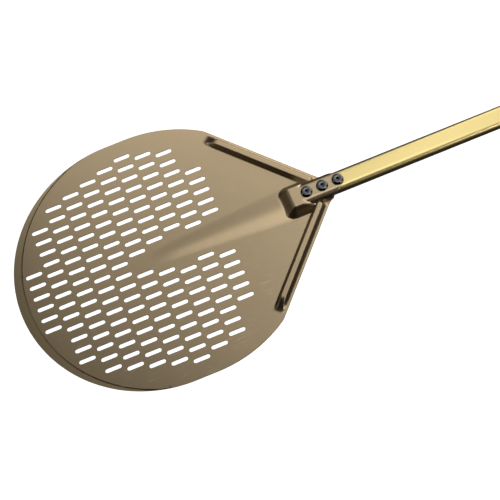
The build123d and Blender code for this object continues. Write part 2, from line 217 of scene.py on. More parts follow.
@dataclass(frozen=True)
class OvalPath:
    """The flat-oval section that the tube and everything round it share.

    Attributes:
        flat_half: half the length of its flat sides, which every ring keeps.
        middle: height of its centre line.
        arc_steps: intervals round each half circle.
        flat_steps: intervals along each flat side.
    """

    flat_half: float
    middle: float
    arc_steps: int = 24
    flat_steps: int = 8

    def ring(self, x: float, radius: float) -> np.ndarray:
        """One ring round the handle.

        Args:
            x: the ring's place along the handle.
            radius: half its height.

        Returns:
            The ring's points, n by 3.
        """
        right = arc((self.flat_half, self.middle), radius, -90, 90, self.arc_steps)
        left = arc((-self.flat_half, self.middle), radius, 90, 270, self.arc_steps)
        flats = np.linspace(self.flat_half, -self.flat_half, self.flat_steps + 1)[1:-1]
        over = [(y, self.middle + radius) for y in flats]
        under = [(-y, self.middle - radius) for y in flats]
        return np.array([(x, y, z) for y, z in right + over + left + under])

    def sweep(self, name: str, profile: list[Point]) -> bpy.types.Object:
        """Carry a closed profile round the oval.

        Args:
            name: the piece's name.
            profile: x and radius of each point, in order.

        Returns:
            The closed, hollow piece.
        """
        rings = [self.ring(x, radius) for x, radius in profile]
        return skin(name, rings, closed=True)


def skin(name: str, rings: list[np.ndarray], closed: bool = False) -> bpy.types.Object:
    """Join rings of equal size into one surface.

    Args:
        name: the piece's name.
        rings: each ring's points, n by 3.
        closed: whether the last ring joins the first; otherwise both ends are capped.

    Returns:
        The object, with its faces outwards.
    """
    size, count = len(rings[0]), len(rings)
    faces = []
    for k in range(count if closed else count - 1):
        a, b = k * size, (k + 1) % count * size
        for j in range(size):
            nxt = (j + 1) % size
            faces.append((a + j, a + nxt, b + nxt, b + j))
    if not closed:
        faces.append(tuple(range(size)))
        faces.append(tuple(range((count - 1) * size, count * size)))
    piece = make_piece(name, np.concatenate(rings), faces)
    recalculate(piece)
    return piece


def turned(name: str, outline: list[Point], centres: list[Point], segments: int = 64) -> bpy.types.Object:
    """Turn a closed outline about upright axes.

    Args:
        name: the piece's name.
        outline: radius and height of each point, in order.
        centres: x and y of each axis, one solid on each.
        segments: steps round each axis.

    Returns:
        One object that holds every solid.
    """
    angles = np.linspace(0, 2 * math.pi, segments, endpoint=False)
    points, faces = [], []
    size = len(outline)
    for cx, cy in centres:
        start = len(points)
        for a in angles:
            points += [(cx + r * math.cos(a), cy + r * math.sin(a), z) for r, z in outline]
        for k in range(segments):
            a, b = start + k * size, start + (k + 1) % segments * size
            for j in range(size):
                nxt = (j + 1) % size
                faces.append((a + j, a + nxt, b + nxt, b + j))
    piece = make_piece(name, np.array(points), faces)
    recalculate(piece)
    return piece


# ---- The head --------------------------------------------------------------------------------
@dataclass
class Ribs:
    """The two ridges pressed up along the shoulders.

    Attributes:
        start: x of each ridge's far end.
        end: x where each ridge runs into the housing.
        inset: how far its middle lies in from the shoulder's edge.
        height: rise of the underside.
        crest_half: half the width of its level top.
        foot_half: half its width at the foot.
        ramp: length over which its far end rises to full height.
    """

    start: float = 118.0
    end: float = 214.0
    inset: float = 9.4
    height: float = 7.0
    crest_half: float = 1.7
    foot_half: float = 6.7
    ramp: float = 19.0


@dataclass
class CentreRib:
    """The shallow ridge that grows from the middle of the head towards the handle."""

    start: float = -5.0
    full_from: float = 42.0
    end: float = 182.0
    half_at_start: float = 9.5
    half_growth: float = 0.078
    rise_share: float = 0.072
    fade: float = 12.0


@dataclass
class Housing:
    """The pressed hood over the tube's nose, with a sloping front and sides that close on the tube."""

    crest_front: float = 186.5
    crest_half: float = 11.3
    slope_front: float = 15.2
    slope_side: float = 10.8
    close_from: float = 196.0
    close_to: float = 226.0
    rivet_x: tuple[float, ...] = (205.0, 225.0, 245.0)


@dataclass
class Slots:
    """The staggered pattern of slots.

    Attributes:
        length: of a slot, over its round ends.
        width: of a slot.
        pitch: distance between slots in a row.
        row_pitch: distance between rows.
        first_x: where the odd rows start.
        columns: slots in a full row.
        rows: rows on each side of the middle one.
        field_radius: how far from the head's middle a slot may be.
        shoulder_limit: the most that x and the distance from the axis may add up to.
        rib_gap_half: half the width of the band kept free for the centre rib.
        rib_gap_start: x where that band's point is.
        rib_gap_slope: how fast the band's point opens, in x over y.
    """

    length: float = 20.5
    width: float = 5.0
    pitch: float = 50.0
    row_pitch: float = 7.5
    first_x: float = -135.0
    columns: int = 5
    rows: int = 19
    field_radius: float = 144.0
    shoulder_limit: float = 194.0
    rib_gap_half: float = 22.0
    rib_gap_start: float = -59.0
    rib_gap_slope: float = 50.0 / 15.0

    def centres(self) -> list[Point]:
        """Where each slot is, leaving out those near the rim, the shoulders and the centre rib."""
        found = []
        for row in range(-self.rows, self.rows + 1):
            y = row * self.row_pitch
            shift = 0.0 if row % 2 else self.pitch / 2
            for column in range(self.columns):
                x = self.first_x + shift + column * self.pitch
                on_head = math.hypot(x, y) < self.field_radius and x + abs(y) < self.shoulder_limit
                beside = abs(y) >= self.rib_gap_half or x <= self.rib_gap_start + self.rib_gap_slope * abs(y)
                if on_head and beside:
                    found.append((x, y))
        return found


@dataclass
class Bevel:
    """The thinned front edge: a crescent with a small step down and a gentle fall to the rim."""

    shift: float = 14.5
    radius: float = 168.0
    step: float = 0.34
    step_width: float = 1.3
    fall: float = 0.035
    deepest: float = 0.78


@dataclass
class Grid:
    """How close together the points inside the sheet are.

    Attributes:
        rib_half: how far the rows across a side rib reach from its middle.
        rib_row: distance between those rows.
        rib_stop: how far short of the side rib's end they stop.
        housing_from: x of the first row across the housing.
        housing_row: distance between those rows.
        centre_row: distance between rows across the centre rib.
        flat: distance between points on the flat.
        flat_x: the x between which those lie.
        flat_y: the y between which those lie.
        bevel_rings: distances of the bevel's rings from its circle.
    """

    rib_half: float = 8.7
    rib_row: float = 2.2
    rib_stop: float = 8.0
    housing_from: float = 166.0
    housing_row: float = 1.15
    centre_row: float = 3.0
    flat: float = 9.0
    flat_x: Point = (-165.0, 220.0)
    flat_y: Point = (-165.0, 166.0)
    bevel_rings: tuple[float, ...] = (-0.5, 0.0, 0.25, 0.5, 0.8, 1.1, 1.4, 2.2, 5.0, 8.0)


@dataclass
class Head:
    """The pressed and slotted sheet, made as two skins with rounded cut edges between them.

    Attributes:
        radius: of the round part, read from the frame.
        tube_flat_half: half the flat width of the tube that the housing wraps.
        tube_radius: half the tube's height.
        tip: x of the tongue's tip, read from the frame.
        sheet: its thickness.
        stretch: how far the rear half round's centre lies behind the front one's.
        corner_radius: rounding between the rear half round and a shoulder.
        shoulder_degrees: angle of the shoulders to the handle.
        shoulders_cross: x where the shoulders' lines would meet.
        neck_fillet: rounding between a shoulder and the neck.
        neck_gap: play between the neck's edge and the housing's side.
        tongue_side: where the neck's side ends and the tongue begins.
        tongue_corner: the tongue's corner.
        tongue_tip_radius: rounding of its tip.
        edge_round: rounding of every cut edge.
        wall_spread: how far the top skin's walls stand out from the underside's.
    """

    radius: float
    tip: float
    tube_flat_half: float
    tube_radius: float
    sheet: float = 1.2
    stretch: float = 26.6
    corner_radius: float = 20.0
    shoulder_degrees: float = 47.9
    shoulders_cross: float = 243.2
    neck_fillet: float = 20.0
    neck_gap: float = 0.1
    tongue_side: Point = (238.5, 13.2)
    tongue_corner: Point = (244.5, 9.5)
    tongue_tip_radius: float = 5.0
    edge_round: float = 0.22
    wall_spread: float = 0.6
    ribs: Ribs = field(default_factory=Ribs)
    centre: CentreRib = field(default_factory=CentreRib)
    housing: Housing = field(default_factory=Housing)
    slots: Slots = field(default_factory=Slots)
    bevel: Bevel = field(default_factory=Bevel)
    grid: Grid = field(default_factory=Grid)

    @property
    def slope(self) -> float:
        """How steeply the shoulders close on the handle."""
        return math.tan(math.radians(self.shoulder_degrees))

    def rib_y(self, x: float) -> float:
        """Where a side rib's middle line is at x."""
        return (self.shoulders_cross - x) * self.slope - self.ribs.inset / math.cos(
            math.radians(self.shoulder_degrees))

    # -- shape of the underside and thickness of the sheet --
    def rib_height(self, x: np.ndarray, y: np.ndarray, spread: float) -> np.ndarray:
        """Rise of the side ribs over the plan, each side moved out by spread."""
        ribs = self.ribs
        start = np.array((ribs.start, self.rib_y(ribs.start)))
        end = np.array((ribs.end, self.rib_y(ribs.end)))
        run = end - start
        place = ((x - start[0]) * run[0] + (np.abs(y) - start[1]) * run[1]) / (run @ run)
        share = np.clip(place, 0, 1)
        away = np.hypot(x - start[0] - share * run[0], np.abs(y) - start[1] - share * run[1])
        ramp = smoothstep(-1.0, ribs.ramp, place * np.linalg.norm(run))
        return ribs.height * ramp * (1 - smoothstep(ribs.crest_half, ribs.foot_half, away - spread))

    def centre_half(self, x: np.ndarray) -> np.ndarray:
        """Half the width of the centre rib at x."""
        rib = self.centre
        return rib.half_at_start + rib.half_growth * np.maximum(x - rib.start, 0.0)

    def centre_height(self, x: np.ndarray, y: np.ndarray) -> np.ndarray:
        """Rise of the centre rib: a shallow bell across, that grows out of the flat."""
        rib, half = self.centre, self.centre_half(x)
        across = np.clip(1 - (y / half) ** 2, 0.0, 1.0) ** 2
        grown = smoothstep(rib.start, rib.full_from, x) * (1 - smoothstep(rib.end - rib.fade, rib.end, x))
        return rib.rise_share * half * across * grown

    def housing_height(self, x: np.ndarray, y: np.ndarray, spread: float, skin_rise: float) -> np.ndarray:
        """Rise of the housing: sloping at the front, closing on the tube's round sides behind.

        Args:
            x: places along the handle.
            y: places across it.
            spread: how far the sloping sides are moved out.
            skin_rise: how much larger the part round the tube is than the tube.

        Returns:
            Heights above the flat of the same skin.
        """
        part = self.housing
        full, radius = 2 * self.tube_radius, self.tube_radius + skin_rise
        side = np.maximum(np.abs(y) - part.crest_half - spread, 0.0)
        ahead = np.maximum(part.crest_front - spread - x, 0.0)
        fall = np.hypot(side / part.slope_side, ahead / part.slope_front)
        sloping = full * (1 - smoothstep(0.0, 1.0, fall))
        out = np.clip(np.abs(y) - self.tube_flat_half, 0.0, radius)
        round_top = self.tube_radius - skin_rise + np.sqrt(radius ** 2 - out ** 2)
        past = smoothstep(radius - 0.1, radius + 0.5, np.abs(y) - self.tube_flat_half)
        hugging = np.where(x < part.close_from, 0.0, round_top * (1 - past))
        close = smoothstep(part.close_from, part.close_to, x)
        return np.maximum(sloping * (1 - close), hugging)

    def raised(self, x: np.ndarray, y: np.ndarray, spread: float, skin_rise: float) -> np.ndarray:
        """Height of everything that is pressed up, the shapes running softly into one another."""
        housing = self.housing_height(x, y, spread, skin_rise)
        ribs = self.rib_height(x, y, spread)
        return (housing ** 4 + ribs ** 4 + self.centre_height(x, y) ** 4) ** 0.25

    def under(self, x: np.ndarray, y: np.ndarray) -> np.ndarray:
        """Height of the sheet's underside over the plan."""
        return self.raised(x, y, 0.0, 0.0)

    def over(self, x: np.ndarray, y: np.ndarray) -> np.ndarray:
        """Height of the sheet's top over the plan."""
        return self.sheet + self.raised(x, y, self.wall_spread, self.sheet) - self.cut_back(x, y)

    def cut_back(self, x: np.ndarray, y: np.ndarray) -> np.ndarray:
        """How much the bevel takes off the top."""
        bevel = self.bevel
        out = np.hypot(x - bevel.shift, y) - bevel.radius
        depth = bevel.step * smoothstep(0.0, bevel.step_width, out) + bevel.fall * np.maximum(out, 0.0)
        return np.where((x < 0) & (out > 0), np.minimum(depth, bevel.deepest), 0.0)

    @staticmethod
    def upward(height: Callable[[np.ndarray, np.ndarray], np.ndarray], plan: np.ndarray) -> np.ndarray:
        """Upward unit normals of one skin.

        Args:
            height: the skin's height over the plan.
            plan: the places, n by 2.

        Returns:
            One normal for each place.
        """
        x, y, d = plan[:, 0], plan[:, 1], 0.06
        gx = (height(x + d, y) - height(x - d, y)) / (2 * d)
        gy = (height(x, y + d) - height(x, y - d)) / (2 * d)
        n = np.stack([-gx, -gy, np.ones_like(gx)], axis=-1)
        return n / np.linalg.norm(n, axis=-1, keepdims=True)

    # -- plan --
    def shoulder_corner(self) -> float:
        """Where a shoulder's straight line leaves the rear half round, from the quadratic in x."""
        square = 1 + self.slope ** 2
        middle = (self.stretch + self.slope ** 2 * self.shoulders_cross) / square
        rest = (self.stretch ** 2 + (self.slope * self.shoulders_cross) ** 2 - self.radius ** 2) / square
        return middle - math.sqrt(middle ** 2 - rest)

    def outline(self) -> np.ndarray:
        """The head's outline, counter-clockwise, with points close enough for its bends."""
        corner_x = self.shoulder_corner()
        corner_y = (self.shoulders_cross - corner_x) * self.slope
        swing = math.degrees(math.atan2(corner_y, corner_x - self.stretch))
        neck_half = self.tube_flat_half + self.tube_radius + self.sheet + self.neck_gap
        neck_x = self.shoulders_cross - neck_half / self.slope
        tip_reach = self.tongue_tip_radius * (1 / math.cos(math.atan2(
            self.tip - self.tongue_corner[0], self.tongue_corner[1])) - 1)
        lower = [
            (0.0, -self.radius, 0.0),
            *((x, y, 0.0) for x, y in arc((self.stretch, 0.0), self.radius, -90, -swing - 3, 24)),
            (corner_x, -corner_y, self.corner_radius),
            (neck_x, -neck_half, self.neck_fillet),
            (self.tongue_side[0], -self.tongue_side[1], 1.5),
            (self.tongue_corner[0], -self.tongue_corner[1], 3.0),
            (self.tip + tip_reach, 0.0, self.tongue_tip_radius),
        ]
        upper = [(x, -y, r) for x, y, r in reversed(lower[:-1])]
        right = rounded(lower + upper, steps=14)
        front = arc((0.0, 0.0), self.radius, 90, 270, 180)[1:-1]
        dense: list[Point] = []
        loop = right + front
        for index, here in enumerate(loop):
            after = loop[(index + 1) % len(loop)]
            gap = math.dist(here, after)
            near_neck = max(here[0], after[0]) > 195.0
            steps = max(1, math.ceil(gap / (1.2 if near_neck else 3.0)))
            dense += divided(here, after, steps)
        kept = [p for k, p in enumerate(dense) if math.dist(p, dense[k - 1]) > 1e-3]
        return np.array(kept)

    def slot_loop(self, centre: Point) -> np.ndarray:
        """One slot's outline, counter-clockwise."""
        half = (self.slots.length - self.slots.width) / 2
        radius = self.slots.width / 2
        right = arc((centre[0] + half, centre[1]), radius, -90, 90, 10)
        left = arc((centre[0] - half, centre[1]), radius, 90, 270, 10)
        return np.array(right + left)

    def inner_points(self) -> np.ndarray:
        """Points inside the outline: wide apart on the flat, close and aligned on the pressed shapes."""
        cells: list[np.ndarray] = []
        ribs = self.ribs
        start = np.array((ribs.start, self.rib_y(ribs.start)))
        end = np.array((ribs.end, self.rib_y(ribs.end)))
        along = (end - start) / np.linalg.norm(end - start)
        sideways = np.array((-along[1], along[0]))
        length = float(np.linalg.norm(end - start))
        grid = self.grid
        across = np.linspace(-grid.rib_half, grid.rib_half, 33)
        for side in (1, -1):
            for s in np.arange(0.0, length - grid.rib_stop, grid.rib_row):
                row = start + along * s + across[:, None] * sideways
                cells.append(row * (1, side))
            for ring in np.linspace(0.4, grid.rib_half, 17):
                angles = np.linspace(math.pi / 2, 3 * math.pi / 2, 21)
                fan = start + ring * (np.cos(angles)[:, None] * along + np.sin(angles)[:, None] * sideways)
                cells.append(fan * (1, side))
        ys = np.concatenate([np.arange(0.0, 6.5, 1.6), np.arange(7.0, 13.4, 0.7),
                             np.array((13.7, 14.0, 14.3, 14.6, 14.9, 15.3)), np.arange(16.0, 31.0, 0.95)])
        ys = np.concatenate([-ys[1:][::-1], ys])
        for x in np.arange(grid.housing_from, self.tip, grid.housing_row):
            cells.append(np.stack([np.full_like(ys, x), ys], axis=1))
        for x in np.arange(self.centre.start + 0.6, grid.housing_from, grid.centre_row):
            half = float(self.centre_half(np.array(x)))
            shares = np.linspace(-1.05, 0.0, 10)
            shares = np.concatenate([shares, -shares[:-1]])
            cells.append(np.stack([np.full_like(shares, x), shares * half], axis=1))
        bevel = self.bevel
        for out in grid.bevel_rings:
            turn = np.radians(np.arange(92.0, 268.0, 1.0))
            radius = bevel.radius + out
            cells.append(np.stack([bevel.shift + radius * np.cos(turn), radius * np.sin(turn)], axis=1))
        flat_x, flat_y = np.meshgrid(np.arange(*grid.flat_x, grid.flat), np.arange(*grid.flat_y, grid.flat))
        cells.append(np.stack([flat_x.ravel(), flat_y.ravel()], axis=1))
        return np.concatenate(cells)

    def build(self) -> bpy.types.Object:
        """Make the sheet.

        Returns:
            The closed mesh, with its normals taken from the shape's own slopes.
        """
        loops = [self.outline()] + [self.slot_loop(c) for c in self.slots.centres()]
        insets, outs = [], []
        for index, loop in enumerate(loops):
            step = np.roll(loop, -1, axis=0) - np.roll(loop, 1, axis=0)
            step /= np.linalg.norm(step, axis=1, keepdims=True)
            out = np.stack([step[:, 1], -step[:, 0]], axis=1)
            out = out if index == 0 else -out
            outs.append(out)
            insets.append(loop - out * self.edge_round)
        plan, faces, loop_ids = triangulate(insets, self.inner_points(), self.slots, self.edge_round)
        return self.skins(plan, faces, loop_ids, outs)

    def skins(self, plan: np.ndarray, faces: np.ndarray, loop_ids: list[np.ndarray],
              outs: list[np.ndarray]) -> bpy.types.Object:
        """Raise the plan into two skins and close them with rounded edges.

        Args:
            plan: the triangulation's points.
            faces: its triangles.
            loop_ids: for each outline, the indices of its points.
            outs: for each outline, the outward direction at its points.

        Returns:
            The finished object.
        """
        base = np.column_stack([plan, self.under(plan[:, 0], plan[:, 1])])
        top = np.column_stack([plan, self.over(plan[:, 0], plan[:, 1])])
        points, normals = [base, top], [-self.upward(self.under, plan), self.upward(self.over, plan)]
        count = len(plan)
        polygons = [tuple(int(v) for v in reversed(f)) for f in faces]
        polygons += [tuple(int(v) + count for v in f) for f in faces]
        total, up, r = 2 * count, np.array((0.0, 0.0, 1.0)), self.edge_round
        for ids, out in zip(loop_ids, outs):
            out3 = np.column_stack([out, np.zeros(len(out))])
            rings = [ids]
            for start, lift, reach in ((base, MID_LIFT, MID_REACH), (base, 1.0, 1.0),
                                       (top, -1.0, 1.0), (top, -MID_LIFT, MID_REACH)):
                points.append(start[ids] + up * lift * r + out3 * reach * r)
                lean = out3 if abs(lift) == 1.0 else out3 - up * math.copysign(1.0, lift)
                normals.append(lean / np.linalg.norm(lean, axis=1, keepdims=True))
                rings.append(np.arange(total, total + len(ids)))
                total += len(ids)
            rings.append(ids + count)
            for low, high in zip(rings[:-1], rings[1:]):
                for a in range(len(ids)):
                    b = (a + 1) % len(ids)
                    polygons.append((int(low[a]), int(low[b]), int(high[b]), int(high[a])))
        points, normals = np.concatenate(points), np.concatenate(normals)
        piece = make_piece("head_sheet", points, polygons)
        bm = bmesh.new()
        bm.from_mesh(piece.data)
        bmesh.ops.recalc_face_normals(bm, faces=bm.faces)
        bm.to_mesh(piece.data)
        bm.free()
        piece.data.normals_split_custom_set_from_vertices([tuple(n) for n in normals])
        return piece


def triangulate(loops: list[np.ndarray], inner: np.ndarray, slots: Slots,
                clearance: float) -> tuple[np.ndarray, np.ndarray, list[np.ndarray]]:
    """Fill the outline with triangles, leaving the slots open.

    Args:
        loops: the outline first, then each slot's.
        inner: points to use inside, some of which may be too close together.
        slots: the slots' sizes.
        clearance: how far the slots' loops stand back from the slots.

    Returns:
        The points, the triangles, and for each loop the indices of its points.
    """
    outline = loops[0]
    kept_inner = keep_apart(inner[inside(inner, outline, 0.7)], 0.28)
    half = (slots.length - slots.width) / 2
    reach = slots.width / 2 + clearance + 0.6
    for cx, cy in slots.centres():
        dx = np.maximum(np.abs(kept_inner[:, 0] - cx) - half, 0.0)
        kept_inner = kept_inner[np.hypot(dx, kept_inner[:, 1] - cy) > reach]
    edges, start = [], 0
    for loop in loops:
        size = len(loop)
        edges += [(start + k, start + (k + 1) % size) for k in range(size)]
        start += size
    all_points = np.concatenate(loops + [kept_inner])
    made = delaunay_2d_cdt([Vector(p) for p in all_points], edges, [], 1, 1e-6)
    points = np.array([tuple(v) for v in made[0]])
    faces = np.array([f for f in made[2] if len(f) == 3])
    new_index = {}
    for index, sources in enumerate(made[3]):
        for source in sources:
            new_index[source] = index
    middle = points[faces].mean(axis=1)
    solid = np.ones(len(faces), bool)
    for cx, cy in slots.centres():
        dx = np.maximum(np.abs(middle[:, 0] - cx) - half, 0.0)
        solid &= np.hypot(dx, middle[:, 1] - cy) > slots.width / 2
    a, b, c = (points[faces[:, k]] for k in range(3))
    area = (b[:, 0] - a[:, 0]) * (c[:, 1] - a[:, 1]) - (b[:, 1] - a[:, 1]) * (c[:, 0] - a[:, 0])
    faces = np.where((area > 0)[:, None], faces, faces[:, ::-1])
    ids, start = [], 0
    for loop in loops:
        ids.append(np.array([new_index[start + k] for k in range(len(loop))]))
        start += len(loop)
    return points, faces[solid], ids


def inside(points: np.ndarray, outline: np.ndarray, margin: float) -> np.ndarray:
    """Which points are inside an outline and clear of its edge.

    Args:
        points: n by 2 array.
        outline: the closed outline's corners.
        margin: least distance from the edge.

    Returns:
        One truth value for each point.
    """
    ends = np.roll(outline, -1, axis=0)
    crossings = np.zeros(len(points), int)
    nearest = np.full(len(points), np.inf)
    for a, b in zip(outline, ends):
        spans = (points[:, 1] < a[1]) != (points[:, 1] < b[1])
        rise = b[1] - a[1] if b[1] != a[1] else 1e-12
        at = a[0] + (points[:, 1] - a[1]) * (b[0] - a[0]) / rise
        crossings += spans & (points[:, 0] < at)
        run = b - a
        share = np.clip(((points - a) @ run) / (run @ run), 0, 1)
        nearest = np.minimum(nearest, np.linalg.norm(points - a - share[:, None] * run, axis=1))
    return (crossings % 2 == 1) & (nearest > margin)


def keep_apart(points: np.ndarray, gap: float) -> np.ndarray:
    """Drop points that lie closer than a gap to an earlier one.

    Args:
        points: n by 2 array, most wanted first.
        gap: least distance between two kept points.

    Returns:
        The kept points.
    """
    taken: dict[tuple[int, int], list[np.ndarray]] = {}
    kept = []
    for point in points:
        cell = (int(point[0] // gap), int(point[1] // gap))
        near = (q for i in (-1, 0, 1) for j in (-1, 0, 1) for q in taken.get((cell[0] + i, cell[1] + j), ()))
        if all(abs(q[0] - point[0]) + abs(q[1] - point[1]) > gap for q in near):
            taken.setdefault(cell, []).append(point)
            kept.append(point)
    return np.array(kept)


# ---- The handle and what is on it ------------------------------------------------------------
@dataclass
class Handle:
    """The drawn tube.

    Attributes:
        path: the shared oval section.
        start: x of its nose.
        end: x of its rear end.
        radius: half its height.
    """

    path: OvalPath
    start: float
    end: float
    radius: float
    wall: float = 1.5
    edge: float = 0.35
    station: float = 24.0

    def build(self) -> bpy.types.Object:
        """Make the tube, open from end to end, with broken edges."""
        bore = self.radius - self.wall
        corners = [
            (self.start, bore, self.edge), (self.end, bore, self.edge),
            (self.end, self.radius, self.edge), (self.start, self.radius, self.edge),
        ]
        outline = rounded(corners, steps=3)
        profile: list[Point] = []
        for index, here in enumerate(outline):
            after = outline[(index + 1) % len(outline)]
            steps = max(1, round(abs(after[0] - here[0]) / self.station))
            profile += divided(here, after, steps)
        return self.path.sweep("handle_tube_shell", profile)


@dataclass
class Rivets:
    """Three domed rivets and the mandrels snapped off inside them."""

    centres: tuple[float, ...]
    seat: float
    inside_top: float
    head: float = 14.6
    rise: float = 3.3
    ring: float = 9.0
    bore: float = 4.0
    shank: float = 6.4
    bulb: float = 8.4
    bulb_length: float = 4.6
    recess: float = 1.6
    rim: float = 0.5
    stub_half: float = 3.0
    stub_depth: float = 1.6

    def build(self) -> bpy.types.Object:
        """Make the rivets, each with a rolled rim, a dome and a flat ring round its bore."""
        rim, top = self.rim, self.seat + self.rise
        half_ring, half_bore, half_shank = self.ring / 2, self.bore / 2, self.shank / 2
        span = self.head / 2 - half_ring
        dome = [(half_ring + span * math.cos(a), self.seat + rim + (self.rise - rim) * math.sin(a))
                for a in np.radians(np.linspace(0, 84, 11))]
        foot = self.inside_top - self.bulb_length
        outline = [(self.head / 2 - 0.35, self.seat), (self.head / 2 - 0.08, self.seat + 0.14), *dome]
        outline += [(half_ring - 0.15, top), (half_bore + 0.35, top), (half_bore + 0.08, top - 0.1)]
        outline += [(half_bore, top - 0.4), (half_bore, foot), (self.bulb / 2 - 1, foot)]
        outline += [(self.bulb / 2, foot + 1.4), (self.bulb / 2, foot + 2.9)]
        outline += [(self.bulb / 2 - 0.5, self.inside_top)]
        outline += [(half_shank, self.inside_top), (half_shank, self.seat)]
        return turned("rivet_heads", outline, [(x, 0.0) for x in self.centres])

    def build_mandrels(self) -> bpy.types.Object:
        """Make what is left of the mandrels, with the rough cone where each one snapped."""
        foot = self.inside_top - self.bulb_length
        top = self.seat + self.rise - self.recess
        half = self.bore / 2 - 0.03
        outline = [(0.01, top - 0.5), (0.5, top - 0.35), (1.0, top)]
        outline += [(half - 0.3, top - 0.1), (half, top - 0.5)]
        outline += [(half, foot), (self.stub_half, foot), (self.stub_half, foot - self.stub_depth + 0.5)]
        outline += [(self.stub_half - 0.6, foot - self.stub_depth), (0.01, foot - self.stub_depth)]
        return turned("mandrel_stubs", outline, [(x, 0.0) for x in self.centres], 40)


@dataclass
class GripForm:
    """What both grips share: a grooved waist between collars.

    Attributes:
        path: the shared oval section.
        waist: half the waist's height.
        collar_rise: how far a collar stands above the waist.
        collar_length: its length.
        collar_round: rounding of its edges.
        fillet: hollow rounding between a collar and the waist.
        groove_depth: of a groove.
        groove_width: of a groove.
        groove_pitch: distance between grooves.
        swell: how far the waist's middle stands out.
    """

    path: OvalPath
    waist: float
    collar_rise: float = 3.2
    collar_length: float = 9.0
    collar_round: float = 2.6
    fillet: float = 2.2
    groove_depth: float = 0.9
    groove_width: float = 2.6
    groove_pitch: float = 9.0
    swell: float = 0.55

    def waist_line(self, start: float, end: float, grooves: int, first: float) -> list[Point]:
        """The outer line of a waist, softly swollen, with round-bottomed grooves.

        Args:
            start: x where the waist begins.
            end: x where it ends.
            grooves: how many grooves it has.
            first: x of the first groove's middle.

        Returns:
            Points from start to end.
        """
        stops = set(np.round(np.arange(start, end, 3.0), 3).tolist()) | {start, end}
        for k in range(grooves):
            middle = first + k * self.groove_pitch
            stops |= set(np.round(middle + self.groove_width * np.linspace(-0.75, 0.75, 9), 3).tolist())
        line = []
        for x in sorted(s for s in stops if start <= s <= end):
            away = min(abs(x - first - k * self.groove_pitch) for k in range(grooves))
            dip = self.groove_depth * (1 - float(smoothstep(0.15, 0.72, np.array(away / self.groove_width))))
            crown = self.swell * math.sin(math.pi * (x - start) / (end - start))
            line.append((x, self.waist + crown - dip))
        return line

    def collar_line(self, start: float, blend_before: bool, blend_after: bool) -> list[Point]:
        """The outer line of one collar.

        Args:
            start: x where the collar begins.
            blend_before: whether it runs smoothly into a waist before it.
            blend_after: whether it runs smoothly into a waist behind it.

        Returns:
            Points from the collar's start to its end.
        """
        end, top = start + self.collar_length, self.waist + self.collar_rise
        round_by, fillet = self.collar_round, self.fillet
        line: list[Point] = []
        if blend_before:
            line += arc((start - fillet, self.waist + fillet), fillet, -90, 0, 5)[1:]
        line += arc((start + round_by, top - round_by), round_by, 180, 90, 7)
        line += arc((end - round_by, top - round_by), round_by, 90, 0, 7)
        if blend_after:
            line += arc((end + fillet, self.waist + fillet), fillet, 180, 270, 5)[:-1]
        return line


@dataclass
class SlidingGrip:
    """The grip that slides on the tube, and its two liners.

    Attributes:
        form: the shape it shares with the end grip.
        start: x of its front face.
        end: x of its rear face.
        tube_radius: half the tube's height.
    """

    form: GripForm
    start: float
    end: float
    tube_radius: float
    gap: float = 0.35
    liner_wall: float = 1.3
    liner_length: float = 14.0
    liner_flange: float = 1.4
    relief: float = 0.3
    grooves: int = 9

    def build(self) -> bpy.types.Object:
        """Make the sleeve with its stepped bore."""
        form, edge = self.form, 0.4
        seat = self.tube_radius + self.gap + self.liner_wall + 0.05
        flange = seat + self.liner_flange
        bore = self.tube_radius + self.gap + self.relief
        length = form.collar_length
        middle = (self.start + self.end) / 2
        first = middle - (self.grooves - 1) * form.groove_pitch / 2
        profile = form.collar_line(self.start, False, True)
        reach = length + form.fillet
        waist = form.waist_line(self.start + reach, self.end - reach, self.grooves, first)
        profile += waist + form.collar_line(self.end - length, True, False)
        for way, face in ((-1, self.end), (1, self.start)):
            step = [
                (face, flange + edge), (face + way * edge, flange), (face + way * self.liner_flange, flange),
                (face + way * self.liner_flange, seat), (face + way * self.liner_length, seat),
                (face + way * self.liner_length, bore),
            ]
            profile += step if way == -1 else step[::-1]
        return form.path.sweep("sliding_grip_sleeve", profile)

    def build_liners(self) -> list[bpy.types.Object]:
        """Make the two flanged liners."""
        hole = self.tube_radius + self.gap
        outer = hole + self.liner_wall
        flange = outer + self.liner_flange
        liners = []
        for name, face, way in (("front_liner", self.start, 1), ("rear_liner", self.end, -1)):
            outline = rounded([
                (face, hole, 0.45), (face + way * self.liner_length, hole, 0.2),
                (face + way * self.liner_length, outer, 0.3), (face + way * self.liner_flange, outer, 0.0),
                (face + way * self.liner_flange, flange, 0.2), (face, flange, 0.35),
            ], steps=3)
            liners.append(self.form.path.sweep(name, outline))
        return liners


